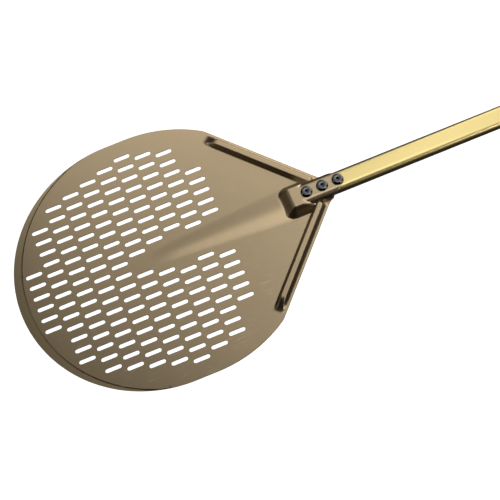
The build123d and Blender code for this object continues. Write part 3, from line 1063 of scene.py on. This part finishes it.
@dataclass
class EndGrip:
    """The fixed grip with its flat hanging eye, and the eyelet in it.

    Attributes:
        form: the shape it shares with the sliding grip.
        start: x of its front face.
        tip: x of its rear end.
        pocket_end: x of the bottom of the pocket that takes the tube.
        pocket_radius: half the pocket's height.
        eye_x: x of the hanging eye.
    """

    form: GripForm
    start: float
    tip: float
    pocket_end: float
    pocket_radius: float
    eye_x: float
    eye_half_thickness: float = 7.5
    flatten_from: float = 1384.0
    flatten_to: float = 1407.0
    grooves: int = 8
    first_groove: float = 17.0
    eyelet_hole: float = 7.5
    eyelet_bore: float = 5.5
    eyelet_body: float = 7.45
    eyelet_flange: float = 10.0
    eyelet_plate: float = 1.0
    cutter_reach: float = 20.0
    screw_x: float = 1370.0
    screw_hole: float = 3.8
    screw_depth: float = 2.6

    def tail_ring(self, x: float) -> np.ndarray:
        """One ring of the part behind the grooves, which flattens into the eye.

        Args:
            x: the ring's place.

        Returns:
            Its points, in the same order as the oval's.
        """
        path, round_from = self.form.path, self.eye_x
        eye_radius = self.tip - self.eye_x
        share = float(smoothstep(self.flatten_from, self.flatten_to, np.array(x)))
        thick = self.form.waist + (self.eye_half_thickness - self.form.waist) * share
        body = path.flat_half + self.form.waist
        width = body + (eye_radius - body) * share
        if x > round_from:
            width = math.sqrt(max(eye_radius ** 2 - (x - round_from) ** 2, 0.0))
        base = path.ring(x, self.form.waist)
        points = base.copy()
        for k, (_, y, z) in enumerate(base):
            across = y / body * width
            edge = width - abs(across)
            if x > round_from:
                edge = eye_radius - math.hypot(x - round_from, across)
            corner = min(thick, max(edge, 0.0))
            rise = math.sqrt(max(thick ** 2 - (thick - corner) ** 2, 0.0))
            points[k, 1] = across
            points[k, 2] = path.middle + (rise if z > path.middle else -rise)
        return points

    def build(self) -> bpy.types.Object:
        """Make the grip with its pocket for the tube and the holes for the eyelet and the screw."""
        form, path = self.form, self.form.path
        length, lip = form.collar_length, 0.5
        rings = [path.ring(x, self.pocket_radius) for x in (self.pocket_end, self.start + lip)]
        rings.append(path.ring(self.start, self.pocket_radius + lip))
        rings += [path.ring(x, r) for x, r in form.collar_line(self.start, False, True)]
        waist_end = self.flatten_from
        line = form.waist_line(self.start + length + form.fillet, waist_end, self.grooves,
                               self.start + self.first_groove)
        rings += [path.ring(x, r) for x, r in line[:-1]]
        rings += [self.tail_ring(x) for x in np.linspace(waist_end, self.eye_x, 14)]
        swing = np.radians(np.linspace(4, 89, 18))
        rings += [self.tail_ring(self.eye_x + (self.tip - self.eye_x) * math.sin(a)) for a in swing]
        piece = skin("end_grip_shell", rings)
        middle, reach = path.middle, self.cutter_reach
        for name, x, radius, low, high in (
            ("eye_cutter", self.eye_x, self.eyelet_hole, middle - reach, middle + reach),
            ("screw_cutter", self.screw_x, self.screw_hole, middle - reach,
             middle - form.waist + self.screw_depth),
        ):
            outline = [(0.001, low), (radius, low), (radius, high), (0.001, high)]
            cut_with(piece, turned(name, outline, [(x, 0.0)], 48))
        return piece

    def build_eyelet(self) -> bpy.types.Object:
        """Make the rolled metal eyelet."""
        middle, half = self.form.path.middle, self.eye_half_thickness
        bore, body, flange, plate = self.eyelet_bore, self.eyelet_body, self.eyelet_flange, self.eyelet_plate
        top = middle + half + plate
        low = middle - half - plate
        outline = arc((bore + 0.9, top - 0.9), 0.9, 180, 90, 5)
        outline += arc((flange - 0.5, top - 0.5), 0.5, 90, 0, 4)
        outline += [(flange, top - plate), (body, top - plate), (body, low + plate), (flange, low + plate)]
        outline += arc((flange - 0.5, low + 0.5), 0.5, 0, -90, 4)
        outline += arc((bore + 0.9, low + 0.9), 0.9, 270, 180, 5)
        return turned("eyelet_ring", outline, [(self.eye_x, 0.0)], 64)


def cut_with(piece: bpy.types.Object, cutter: bpy.types.Object) -> None:
    """Cut one closed mesh out of another and remove the cutter.

    Args:
        piece: what is cut.
        cutter: what is taken away.
    """
    change = piece.modifiers.new("cut", "BOOLEAN")
    change.operation, change.solver, change.object = "DIFFERENCE", "EXACT", cutter
    bpy.context.view_layer.update()
    graph = bpy.context.evaluated_depsgraph_get()
    made = bpy.data.meshes.new_from_object(piece.evaluated_get(graph))
    piece.modifiers.remove(change)
    piece.data = made
    bpy.data.objects.remove(cutter)
    recalculate(piece)


# ---- Effects that several finishes share -----------------------------------------------------
class Effect:
    """A shader node group with named inputs and outputs, filled by a subclass."""

    name = "effect"
    inputs: tuple[tuple[str, float], ...] = ()
    outputs: tuple[str, ...] = ()

    def __init__(self) -> None:
        """Make the group's interface and fill it."""
        self.tree = bpy.data.node_groups.new(self.name, "ShaderNodeTree")
        for label, value in self.inputs:
            socket = self.tree.interface.new_socket(label, in_out="INPUT", socket_type="NodeSocketFloat")
            socket.default_value = value
        for label in self.outputs:
            self.tree.interface.new_socket(label, in_out="OUTPUT", socket_type="NodeSocketFloat")
        self.entry = self.tree.nodes.new("NodeGroupInput")
        self.exit = self.tree.nodes.new("NodeGroupOutput")
        self.fill()

    def fill(self) -> None:
        """Add the group's own nodes."""
        raise NotImplementedError

    def node(self, kind: str, **settings: object) -> bpy.types.Node:
        """Add a node and set its properties.

        Args:
            kind: the node's type name.
            settings: property values.

        Returns:
            The node.
        """
        made = self.tree.nodes.new(kind)
        for key, value in settings.items():
            setattr(made, key, value)
        return made

    def link(self, source: bpy.types.NodeSocket, target: bpy.types.NodeSocket) -> None:
        """Join two sockets."""
        self.tree.links.new(source, target)

    def math(self, operation: str, a: object, b: object = 0.0, clamp: bool = False) -> bpy.types.NodeSocket:
        """Add a math node whose operands are sockets or numbers.

        Args:
            operation: the node's operation.
            a: first operand.
            b: second operand.
            clamp: whether the result stays from 0 to 1.

        Returns:
            The result's socket.
        """
        made = self.node("ShaderNodeMath", operation=operation, use_clamp=clamp)
        for socket, value in zip(made.inputs, (a, b)):
            if isinstance(value, bpy.types.NodeSocket):
                self.link(value, socket)
            else:
                socket.default_value = float(value)
        return made.outputs[0]

    def scaled_place(self, along: object, across: object) -> bpy.types.NodeSocket:
        """Object coordinates with their own scale along the handle and across it."""
        place = self.node("ShaderNodeTexCoord").outputs["Object"]
        scale = self.node("ShaderNodeCombineXYZ")
        for socket, value in zip(scale.inputs, (along, across, across)):
            self.link(value, socket)
        product = self.node("ShaderNodeVectorMath", operation="MULTIPLY")
        self.link(place, product.inputs[0])
        self.link(scale.outputs[0], product.inputs[1])
        return product.outputs[0]

    def noise(self, place: bpy.types.NodeSocket, scale: float, detail: float) -> bpy.types.NodeSocket:
        """A noise value from 0 to 1 at a place."""
        made = self.node("ShaderNodeTexNoise")
        made.inputs["Scale"].default_value = scale
        made.inputs["Detail"].default_value = detail
        self.link(place, made.inputs["Vector"])
        return made.outputs["Fac"]


class Grain(Effect):
    """Fine grain, stretched along the handle as rolling and drawing leave it."""

    name = "drawn_grain"
    inputs = (("Along", 60.0), ("Across", 900.0))
    outputs = ("Height", "Tone")

    def fill(self) -> None:
        """Two noises, one of lines and one of specks."""
        place = self.scaled_place(self.entry.outputs["Along"], self.entry.outputs["Across"])
        lines = self.noise(place, 1.0, 3.0)
        specks = self.noise(self.node("ShaderNodeTexCoord").outputs["Object"], 1400.0, 2.0)
        height = self.math("ADD", self.math("MULTIPLY", lines, 0.7), self.math("MULTIPLY", specks, 0.3))
        self.link(height, self.exit.inputs["Height"])
        self.link(lines, self.exit.inputs["Tone"])


class Patina(Effect):
    """Slow, cloudy variation, as of an oxide film, oil and handling."""

    name = "cloudy_patina"
    inputs = (("Size", 12.0), ("Contrast", 2.0))
    outputs = ("Mask",)

    def fill(self) -> None:
        """Noise at two sizes, with its contrast raised."""
        place = self.scaled_place(self.entry.outputs["Size"], self.entry.outputs["Size"])
        both = self.math("ADD", self.math("MULTIPLY", self.noise(place, 1.0, 3.0), 0.65),
                         self.math("MULTIPLY", self.noise(place, 5.3, 4.0), 0.35))
        centred = self.math("MULTIPLY", self.math("SUBTRACT", both, 0.5), self.entry.outputs["Contrast"])
        self.link(self.math("ADD", centred, 0.5, clamp=True), self.exit.inputs["Mask"])


class EdgeWear(Effect):
    """Where convex edges are rubbed, broken up by noise."""

    name = "edge_wear"
    inputs = (("Start", 0.52), ("Sharpness", 14.0))
    outputs = ("Mask",)

    def fill(self) -> None:
        """The geometry's own pointiness, less a threshold, times noise."""
        point = self.node("ShaderNodeNewGeometry").outputs["Pointiness"]
        over = self.math("SUBTRACT", point, self.entry.outputs["Start"])
        edge = self.math("MULTIPLY", over, self.entry.outputs["Sharpness"], clamp=True)
        grit = self.noise(self.node("ShaderNodeTexCoord").outputs["Object"], 260.0, 3.0)
        broken = self.math("MULTIPLY", self.math("SUBTRACT", grit, 0.36), 4.0, clamp=True)
        self.link(self.math("MULTIPLY", edge, broken), self.exit.inputs["Mask"])


class Scuffs(Effect):
    """Sparse hairline scratches."""

    name = "hairline_scuffs"
    inputs = (("Along", 22.0), ("Across", 420.0), ("Density", 0.035))
    outputs = ("Mask",)

    def fill(self) -> None:
        """Thin level lines of a stretched noise, kept only in patches."""
        place = self.scaled_place(self.entry.outputs["Along"], self.entry.outputs["Across"])
        level = self.noise(place, 1.0, 1.0)
        off = self.math("ABSOLUTE", self.math("SUBTRACT", level, 0.5))
        ratio = self.math("DIVIDE", off, self.entry.outputs["Density"])
        line = self.math("SUBTRACT", 1.0, ratio, clamp=True)
        patch = self.noise(self.node("ShaderNodeTexCoord").outputs["Object"], 46.0, 2.0)
        kept = self.math("MULTIPLY", self.math("SUBTRACT", patch, 0.52), 7.0, clamp=True)
        self.link(self.math("MULTIPLY", line, kept), self.exit.inputs["Mask"])


class Pebble(Effect):
    """The fine spark-eroded texture of a moulded grip."""

    name = "moulded_pebble"
    inputs = (("Scale", 1500.0),)
    outputs = ("Height",)

    def fill(self) -> None:
        """Rounded cells with a finer noise on them."""
        place = self.scaled_place(self.entry.outputs["Scale"], self.entry.outputs["Scale"])
        cells = self.node("ShaderNodeTexVoronoi", feature="SMOOTH_F1")
        cells.inputs["Scale"].default_value = 1.0
        cells.inputs["Smoothness"].default_value = 0.6
        self.link(place, cells.inputs["Vector"])
        fine = self.noise(place, 2.2, 2.0)
        height = self.math("ADD", cells.outputs["Distance"], self.math("MULTIPLY", fine, 0.4))
        self.link(height, self.exit.inputs["Height"])


class ThinnedEdge(Effect):
    """Where the head's front edge was ground thinner, outside a shifted circle."""

    name = "thinned_edge"
    inputs = (("Shift", 0.0145), ("Radius", 0.168))
    outputs = ("Mask", "Line")

    def fill(self) -> None:
        """Distance from the shifted circle, in front of the head's middle."""
        place = self.node("ShaderNodeSeparateXYZ")
        self.link(self.node("ShaderNodeTexCoord").outputs["Object"], place.inputs[0])
        x, y = place.outputs["X"], place.outputs["Y"]
        along = self.math("SUBTRACT", x, self.entry.outputs["Shift"])
        square = self.math("ADD", self.math("MULTIPLY", along, along), self.math("MULTIPLY", y, y))
        out = self.math("SUBTRACT", self.math("SQRT", square), self.entry.outputs["Radius"])
        front = self.math("MULTIPLY", x, -200.0, clamp=True)
        ground = self.math("MULTIPLY", out, 700.0, clamp=True)
        self.link(self.math("MULTIPLY", ground, front), self.exit.inputs["Mask"])
        # A thin band along the small step, where a painted shade line darkens the colour.
        off = self.math("ABSOLUTE", self.math("SUBTRACT", out, 0.0006))
        line = self.math("SUBTRACT", 1.0, self.math("MULTIPLY", off, 900.0), clamp=True)
        self.link(self.math("MULTIPLY", line, front), self.exit.inputs["Line"])


class PaintedShade(Effect):
    """A gradient painted over the head's colour, darkest at the front near side.

    It isn't a property of the sheet. It stands in for a fall of light over the deck that the studio's
    own lights don't give, and stays on the head whatever light falls on it.
    """

    name = "painted_shade"
    inputs = (("Along", 0.5), ("Across", 3.0), ("Reach", 0.165))
    outputs = ("Share",)

    def fill(self) -> None:
        """An exponential of the place on the head, 1 where nothing is darkened."""
        place = self.node("ShaderNodeSeparateXYZ")
        self.link(self.node("ShaderNodeTexCoord").outputs["Object"], place.inputs[0])
        reach = self.entry.outputs["Reach"]
        terms = []
        for axis, label in (("X", "Along"), ("Y", "Across")):
            kept = self.math("MAXIMUM", self.math("MINIMUM", place.outputs[axis], reach),
                             self.math("MULTIPLY", reach, -1.0))
            behind = self.math("SUBTRACT", kept, reach)
            terms.append(self.math("MULTIPLY", behind, self.entry.outputs[label]))
        self.link(self.math("EXPONENT", self.math("ADD", *terms)), self.exit.inputs["Share"])


@dataclass
class Effects:
    """The shared node groups, each built once."""

    grain: Grain
    patina: Patina
    wear: EdgeWear
    scuffs: Scuffs
    pebble: Pebble
    thinned: ThinnedEdge
    shade: PaintedShade

    @classmethod
    def make(cls) -> "Effects":
        """Build every group."""
        return cls(Grain(), Patina(), EdgeWear(), Scuffs(), Pebble(), ThinnedEdge(), PaintedShade())


# ---- Finishes --------------------------------------------------------------------------------
class Shading:
    """A material under construction, with short ways to place and join its nodes."""

    def __init__(self, name: str) -> None:
        """Start the material with a Principled shader."""
        self.material = bpy.data.materials.new(name)
        self.material.use_nodes = True
        self.tree = self.material.node_tree
        self.shader = self.tree.nodes["Principled BSDF"]

    def group(self, effect: Effect, **values: float) -> dict[str, bpy.types.NodeSocket]:
        """Place a shared effect.

        Args:
            effect: the group to use.
            values: its inputs in this material.

        Returns:
            Its output sockets by name.
        """
        placed = self.tree.nodes.new("ShaderNodeGroup")
        placed.node_tree = effect.tree
        for key, value in values.items():
            placed.inputs[key].default_value = value
        return {socket.name: socket for socket in placed.outputs}

    def blend(self, share: bpy.types.NodeSocket, first: object, second: object) -> bpy.types.NodeSocket:
        """Mix two colours, each a socket or a colour, by a socket's share."""
        mix = self.tree.nodes.new("ShaderNodeMix")
        mix.data_type = "RGBA"
        self.tree.links.new(share, mix.inputs["Factor"])
        for socket, value in ((mix.inputs[6], first), (mix.inputs[7], second)):
            if isinstance(value, bpy.types.NodeSocket):
                self.tree.links.new(value, socket)
            else:
                socket.default_value = (*value, 1.0)
        return mix.outputs[2]

    def spread(self, share: bpy.types.NodeSocket, low: float, high: float) -> bpy.types.NodeSocket:
        """Map a value from 0 to 1 onto a range."""
        mapped = self.tree.nodes.new("ShaderNodeMapRange")
        mapped.inputs["To Min"].default_value = low
        mapped.inputs["To Max"].default_value = high
        self.tree.links.new(share, mapped.inputs["Value"])
        return mapped.outputs["Result"]

    def feed(self, socket: bpy.types.NodeSocket, label: str) -> None:
        """Join a socket to one of the shader's inputs."""
        self.tree.links.new(socket, self.shader.inputs[label])

    def bump(self, height: bpy.types.NodeSocket, strength: float, distance: float) -> None:
        """Let a height bend the shader's normal.

        Args:
            height: the height's socket.
            strength: from 0 to 1.
            distance: metres that a height of 1 stands for.
        """
        made = self.tree.nodes.new("ShaderNodeBump")
        made.inputs["Strength"].default_value = strength
        made.inputs["Distance"].default_value = distance
        self.tree.links.new(height, made.inputs["Height"])
        self.tree.links.new(made.outputs["Normal"], self.shader.inputs["Normal"])


@dataclass(frozen=True)
class AnodisedFinish:
    """Anodised aluminium: a tinted satin metal with grain, patina, scuffs and rubbed edges.

    Attributes:
        name: the material's name.
        colour: its usual colour.
        deep: its colour where the film is thicker.
        rubbed: its colour where edges are worn.
        rough_low: its roughness where it is smoothest.
        rough_high: its roughness where it is roughest.
        metallic: how metallic it is.
        grain_along: how fine the grain is along the handle, per metre.
        grain_across: how fine it is across the handle, per metre.
        grain_depth: how deep it is.
        patina_size: how fine the cloudy variation is, per metre.
        wear_start: how sharp an edge must be to look rubbed.
        ground: its colour on the thinned front edge, if it has one: the edge's own colour, made paler as a
        painted highlight where the bevel catches the light. Such a finish is the head's, and also gets
        the painted shade.
        step_shade_line: a painted shade line along that edge's step, darker than the lights make it.
    """

    name: str
    colour: Colour
    deep: Colour
    rubbed: Colour
    rough_low: float
    rough_high: float
    metallic: float = 1.0
    grain_along: float = 60.0
    grain_across: float = 900.0
    grain_depth: float = 4e-6
    patina_size: float = 12.0
    wear_start: float = 0.53
    ground: Colour | None = None
    step_shade_line: Colour = (0.3, 0.23, 0.14)

    def make(self, effects: Effects) -> bpy.types.Material:
        """Build the material.

        Args:
            effects: the shared node groups.

        Returns:
            The material.
        """
        made = Shading(self.name)
        grain = made.group(effects.grain, Along=self.grain_along, Across=self.grain_across)
        patina = made.group(effects.patina, Size=self.patina_size, Contrast=2.4)["Mask"]
        scuffs = made.group(effects.scuffs)["Mask"]
        wear = made.group(effects.wear, Start=self.wear_start)["Mask"]
        tinted = made.blend(patina, self.colour, self.deep)
        if self.ground is not None:
            edge = made.group(effects.thinned)
            # The thinned edge's own colour, made paler as a painted highlight where the bevel catches the
            # light.
            pale = made.blend(edge["Mask"], tinted, self.ground)
            # A painted shade line along the thinned edge's step.
            shade_lined = made.blend(made.spread(edge["Line"], 0.0, 0.55), pale, self.step_shade_line)
            tinted = made.blend(made.group(effects.shade)["Share"], (0.0, 0.0, 0.0), shade_lined)
        scratched = made.blend(made.spread(scuffs, 0.0, 0.22), tinted, self.rubbed)
        made.feed(made.blend(made.spread(wear, 0.0, 0.7), scratched, self.rubbed), "Base Color")
        tone = made.blend(grain["Tone"], (self.rough_low,) * 3, (self.rough_high,) * 3)
        made.feed(made.blend(made.spread(patina, 0.0, 0.5), tone, (self.rough_high,) * 3), "Roughness")
        made.shader.inputs["Metallic"].default_value = self.metallic
        made.bump(grain["Height"], 0.5, self.grain_depth)
        return made.material


@dataclass(frozen=True)
class GlossFinish:
    """A glossy coated metal with faint swirls and rubbed edges."""

    name: str
    colour: Colour
    rubbed: Colour
    roughness: float
    metallic: float
    coat: float

    def make(self, effects: Effects) -> bpy.types.Material:
        """Build the material."""
        made = Shading(self.name)
        patina = made.group(effects.patina, Size=160.0, Contrast=2.0)["Mask"]
        wear = made.group(effects.wear, Start=0.56, Sharpness=9.0)["Mask"]
        grain = made.group(effects.grain, Along=700.0, Across=700.0)
        made.feed(made.blend(made.spread(wear, 0.0, 0.5), self.colour, self.rubbed), "Base Color")
        made.feed(made.spread(patina, self.roughness, self.roughness + 0.1), "Roughness")
        made.shader.inputs["Metallic"].default_value = self.metallic
        made.shader.inputs["Coat Weight"].default_value = self.coat
        made.shader.inputs["Coat Roughness"].default_value = 0.06
        made.bump(grain["Height"], 0.25, 6e-6)
        return made.material


@dataclass(frozen=True)
class SteelFinish:
    """Plain steel, turned or pressed, with fine lines."""

    name: str
    colour: Colour
    dull: Colour
    rough_low: float
    rough_high: float

    def make(self, effects: Effects) -> bpy.types.Material:
        """Build the material."""
        made = Shading(self.name)
        grain = made.group(effects.grain, Along=500.0, Across=1600.0)
        patina = made.group(effects.patina, Size=90.0, Contrast=2.2)["Mask"]
        made.feed(made.blend(patina, self.colour, self.dull), "Base Color")
        made.feed(made.spread(grain["Tone"], self.rough_low, self.rough_high), "Roughness")
        made.shader.inputs["Metallic"].default_value = 1.0
        made.bump(grain["Height"], 0.5, 8e-6)
        return made.material


@dataclass(frozen=True)
class PlasticFinish:
    """Moulded plastic with a pebbled skin, polished by the hand where it stands proud."""

    name: str
    colour: Colour
    worn: Colour
    rough_low: float
    rough_high: float
    pebble: float = 1500.0
    depth: float = 2.5e-5

    def make(self, effects: Effects) -> bpy.types.Material:
        """Build the material."""
        made = Shading(self.name)
        skin_height = made.group(effects.pebble, Scale=self.pebble)["Height"]
        patina = made.group(effects.patina, Size=34.0, Contrast=2.2)["Mask"]
        wear = made.group(effects.wear, Start=0.515, Sharpness=10.0)["Mask"]
        tinted = made.blend(made.spread(patina, 0.0, 0.6), self.colour, self.worn)
        made.feed(made.blend(made.spread(wear, 0.0, 0.6), tinted, self.worn), "Base Color")
        rough = made.blend(patina, (self.rough_high,) * 3, (self.rough_low,) * 3)
        made.feed(made.blend(wear, rough, (self.rough_low,) * 3), "Roughness")
        made.bump(skin_height, 0.6, self.depth)
        return made.material


# ---- Stage -----------------------------------------------------------------------------------
def light_area(name: str, size: Point, power: float, place: Vector, turn: Euler) -> None:
    """Make a soft rectangular light that the camera doesn't see.

    Args:
        name: the light's name.
        size: its sides, in metres.
        power: in watts.
        place: where it is.
        turn: which way it faces.
    """
    lamp = bpy.data.lights.new(name, "AREA")
    lamp.shape, lamp.energy = "RECTANGLE", power
    lamp.size, lamp.size_y = size
    made = bpy.data.objects.new(name, lamp)
    made.location, made.rotation_euler = place, turn
    made.visible_camera = False
    bpy.context.scene.collection.objects.link(made)


@dataclass(frozen=True)
class Panel:
    """A square soft light that faces the head.

    Attributes:
        along: its lean from overhead towards the handle, in degrees.
        across: its lean from overhead towards the far side, in degrees.
        power: in watts.
        distance: from the head, in metres.
        size: its side, in metres.
    """

    along: float
    across: float
    power: float
    distance: float = 0.75
    size: float = 0.45

    def build(self, aim: Vector) -> None:
        """Make the light, facing a point."""
        lean = Vector((math.tan(math.radians(self.along)), math.tan(math.radians(self.across)), 1.0))
        turn = (-lean).to_track_quat("-Z", "Y").to_euler()
        place = aim + lean.normalized() * self.distance
        light_area("panel", (self.size, self.size), self.power, place, turn)


@dataclass
class Studio:
    """A plain pale floor, soft panels and the camera.

    Attributes:
        camera_place: where the camera is.
        camera_turn: its rotation in degrees.
        lens: its focal length in millimetres.
        sensor: its sensor's width in millimetres.
        floor_drop: how far the floor is below the object.
        floor_half: half the floor's side.
        fill: colour and strength of the light from all round.
        aim: the point that the panels face.
        key: the main light, wide, towards the handle and the far side.
        low: from the handle's near side.
        top: nearly overhead.
        side: from in front of the head.
        close: near the head, on the far side.
        spark: small, for glints.
        below: power of the light from the floor's side, in watts.
        below_size: that light's sides.
        below_place: where that light is.
    """

    camera_place: tuple[float, float, float] = (0.01929, -0.90130, 1.92263)
    camera_turn: tuple[float, float, float] = (23.504, 6.563, -21.117)
    lens: float = 127.59
    sensor: float = 36.0
    floor_drop: float = 0.45
    floor_half: float = 9.0
    fill: Colour = (0.006, 0.006, 0.006)
    aim: tuple[float, float, float] = (0.08, 0.0, 0.0)
    key: Panel = Panel(60, 50, 14.0, 1.6, 1.6)
    low: Panel = Panel(60, -50, 3.5, 1.6, 0.9)
    top: Panel = Panel(15, 5, 3.5, 1.6, 0.9)
    side: Panel = Panel(-60, 20, 1.5, 1.6, 0.9)
    close: Panel = Panel(10, 30, 1.0, 0.75, 0.8)
    spark: Panel = Panel(44, -44, 1.7, 1.3, 0.26)
    below: float = 0.35
    below_size: Point = (2.2, 0.7)
    below_place: tuple[float, float, float] = (0.6, 0.0, -0.42)

    def build(self, lowest: float) -> None:
        """Make the stage.

        Args:
            lowest: the height of the object's lowest point, in metres.
        """
        scene = bpy.context.scene
        scene.view_settings.view_transform = "Standard"
        lens = bpy.data.cameras.new("camera")
        lens.lens, lens.sensor_width = self.lens, self.sensor
        camera = bpy.data.objects.new("camera", lens)
        camera.location = self.camera_place
        camera.rotation_euler = [math.radians(a) for a in self.camera_turn]
        scene.collection.objects.link(camera)
        scene.camera = camera
        self.make_floor(lowest)
        self.make_world()
        for panel in (self.key, self.low, self.top, self.side, self.close, self.spark):
            panel.build(Vector(self.aim))
        self.light_below()

    def light_below(self) -> None:
        """Light the underside weakly. The floor itself is hidden from the object, so it gives no light."""
        turn = Euler((math.pi, 0.0, 0.0))
        light_area("from_floor", self.below_size, self.below, Vector(self.below_place), turn)

    def make_floor(self, lowest: float) -> None:
        """Make the pale floor, some way below the object as it is held."""
        half, z = self.floor_half, lowest - self.floor_drop
        mesh = bpy.data.meshes.new("floor")
        corners = [(-half, -half, z), (half, -half, z), (half, half, z), (-half, half, z)]
        mesh.from_pydata(corners, [], [(0, 1, 2, 3)])
        floor = bpy.data.objects.new("floor", mesh)
        bpy.context.scene.collection.objects.link(floor)
        floor.visible_glossy = False
        floor.visible_diffuse = False
        material = bpy.data.materials.new("floor_paper")
        material.use_nodes = True
        shader = material.node_tree.nodes["Principled BSDF"]
        shader.inputs["Base Color"].default_value = (0.9, 0.9, 0.9, 1.0)
        shader.inputs["Roughness"].default_value = 0.9
        shader.inputs["Emission Color"].default_value = (1.0, 1.0, 1.0, 1.0)
        shader.inputs["Emission Strength"].default_value = 0.85
        mesh.materials.append(material)
        floor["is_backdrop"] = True

    def make_world(self) -> None:
        """Make a white surround that lights the object with a dimmer fill."""
        world = bpy.data.worlds.new("surround")
        world.use_nodes = True
        tree = world.node_tree
        seen = tree.nodes.new("ShaderNodeBackground")
        seen.inputs["Color"].default_value = (1.0, 1.0, 1.0, 1.0)
        dim = tree.nodes["Background"]
        dim.inputs["Color"].default_value = (*self.fill, 1.0)
        path = tree.nodes.new("ShaderNodeLightPath")
        choose = tree.nodes.new("ShaderNodeMixShader")
        tree.links.new(path.outputs["Is Camera Ray"], choose.inputs["Fac"])
        tree.links.new(dim.outputs[0], choose.inputs[1])
        tree.links.new(seen.outputs[0], choose.inputs[2])
        tree.links.new(choose.outputs[0], tree.nodes["World Output"].inputs["Surface"])
        bpy.context.scene.world = world


# ---- The whole peel --------------------------------------------------------------------------
@dataclass
class Finishes:
    """Every finish on the peel."""

    head: AnodisedFinish = AnodisedFinish(
        "bronze_hard_anodised", (0.815, 0.628, 0.386), (0.78, 0.602, 0.37), (0.72, 0.6, 0.42), 0.27, 0.35,
        # the thinned edge's own colour, made paler as a painted highlight
        ground=(1.0, 0.78, 0.45))
    tube: AnodisedFinish = AnodisedFinish(
        "gold_anodised", (0.84, 0.672, 0.286), (0.81, 0.65, 0.277), (0.86, 0.76, 0.5), 0.26, 0.36,
        grain_along=9.0, grain_across=1500.0, patina_size=20.0)
    rivet: GlossFinish = GlossFinish("black_coated", (0.11, 0.11, 0.12), (0.4, 0.4, 0.42), 0.1, 1.0, 0.6)
    mandrel: SteelFinish = SteelFinish("dark_steel", (0.05, 0.05, 0.055), (0.03, 0.03, 0.03), 0.35, 0.5)
    grip: PlasticFinish = PlasticFinish(
        "black_grip", (0.018, 0.018, 0.02), (0.035, 0.035, 0.038), 0.38, 0.55)
    liner: PlasticFinish = PlasticFinish(
        "natural_liner", (0.72, 0.69, 0.62), (0.6, 0.57, 0.5), 0.3, 0.42, pebble=900.0, depth=6e-6)
    plug: PlasticFinish = PlasticFinish("black_plug", (0.03, 0.03, 0.033), (0.05, 0.05, 0.052), 0.42, 0.55)
    steel: SteelFinish = SteelFinish("stainless", (0.66, 0.66, 0.67), (0.55, 0.55, 0.55), 0.2, 0.34)


def dress(piece: bpy.types.Object, material: bpy.types.Material) -> None:
    """Give a piece its one material."""
    piece.data.materials.clear()
    piece.data.materials.append(material)
    LOG.info("%s wears %s", piece.name, material.name)


def stand_in(piece: bpy.types.Object, body: Body, *nodes: str) -> None:
    """Let a piece ride on a body and stand for CAD nodes."""
    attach(piece, body.value)
    if nodes:
        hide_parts(*nodes)
    LOG.info("%s rides on %s, %d vertices", piece.name, body.value, len(piece.data.vertices))


def main() -> None:
    """Load the frame, build each sub-assembly on it, dress it and set the stage."""
    logging.basicConfig(level=logging.INFO, format="%(name)s: %(message)s")
    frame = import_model()
    cad_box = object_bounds()
    nodes = frame["nodes"]
    boxes = {name: [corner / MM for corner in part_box(name)] for name in nodes}

    tube_low, tube_high = boxes["handle_tube"]
    tube_radius = (tube_high.z - tube_low.z) / 2
    flat_half = (tube_high.y - tube_low.y) / 2 - tube_radius
    path = OvalPath(flat_half, (tube_high.z + tube_low.z) / 2)
    head_low, head_high = boxes["head"]
    grip_low, grip_high = boxes["sliding_grip"]
    form = GripForm(path, (grip_high.z - grip_low.z) / 2 - GripForm.collar_rise)
    eyelet_low, eyelet_high = boxes["hanging_eyelet"]

    head = Head(-head_low.x, head_high.x, flat_half, tube_radius)
    handle = Handle(path, tube_low.x, tube_high.x, tube_radius)
    rivets = Rivets(head.housing.rivet_x, head_high.z, tube_high.z - handle.wall)
    slider = SlidingGrip(form, grip_low.x, grip_high.x, tube_radius)
    end_low, end_high = boxes["end_grip"]
    end = EndGrip(form, end_low.x, end_high.x, tube_high.x + 0.1, tube_radius + 0.1,
                  (eyelet_low.x + eyelet_high.x) / 2)

    effects, finishes = Effects.make(), Finishes()
    bronze, gold = finishes.head.make(effects), finishes.tube.make(effects)
    black, dark = finishes.rivet.make(effects), finishes.mandrel.make(effects)
    rubber, liner = finishes.grip.make(effects), finishes.liner.make(effects)
    plug, steel = finishes.plug.make(effects), finishes.steel.make(effects)

    front_liner, rear_liner = slider.build_liners()
    for piece, body, node, material, slot in (
        (head.build(), Body.PEEL, "head", bronze, Slot.HEAD),
        (handle.build(), Body.PEEL, "handle_tube", gold, Slot.TUBE),
        (rivets.build(), Body.PEEL, "rivets", black, Slot.RIVET),
        (rivets.build_mandrels(), Body.PEEL, "rivet_mandrels", dark, Slot.MANDREL),
        (slider.build(), Body.SLIDER, "sliding_grip", rubber, Slot.GRIP),
        (front_liner, Body.SLIDER, "slide_liners", liner, Slot.LINER),
        (rear_liner, Body.SLIDER, "slide_liners", liner, Slot.LINER),
        (end.build(), Body.PEEL, "end_grip", rubber, Slot.GRIP),
        (end.build_eyelet(), Body.PEEL, "hanging_eyelet", steel, Slot.STEEL),
    ):
        stand_in(piece, body, node)
        dress(piece, material)
    for node, material in (("tube_nose_plug", plug), ("tube_end_bung", plug), ("grip_screw", steel)):
        dress(nodes[node], material)

    Studio().build(cad_box[0][2])


if __name__ == "__main__":
    main()
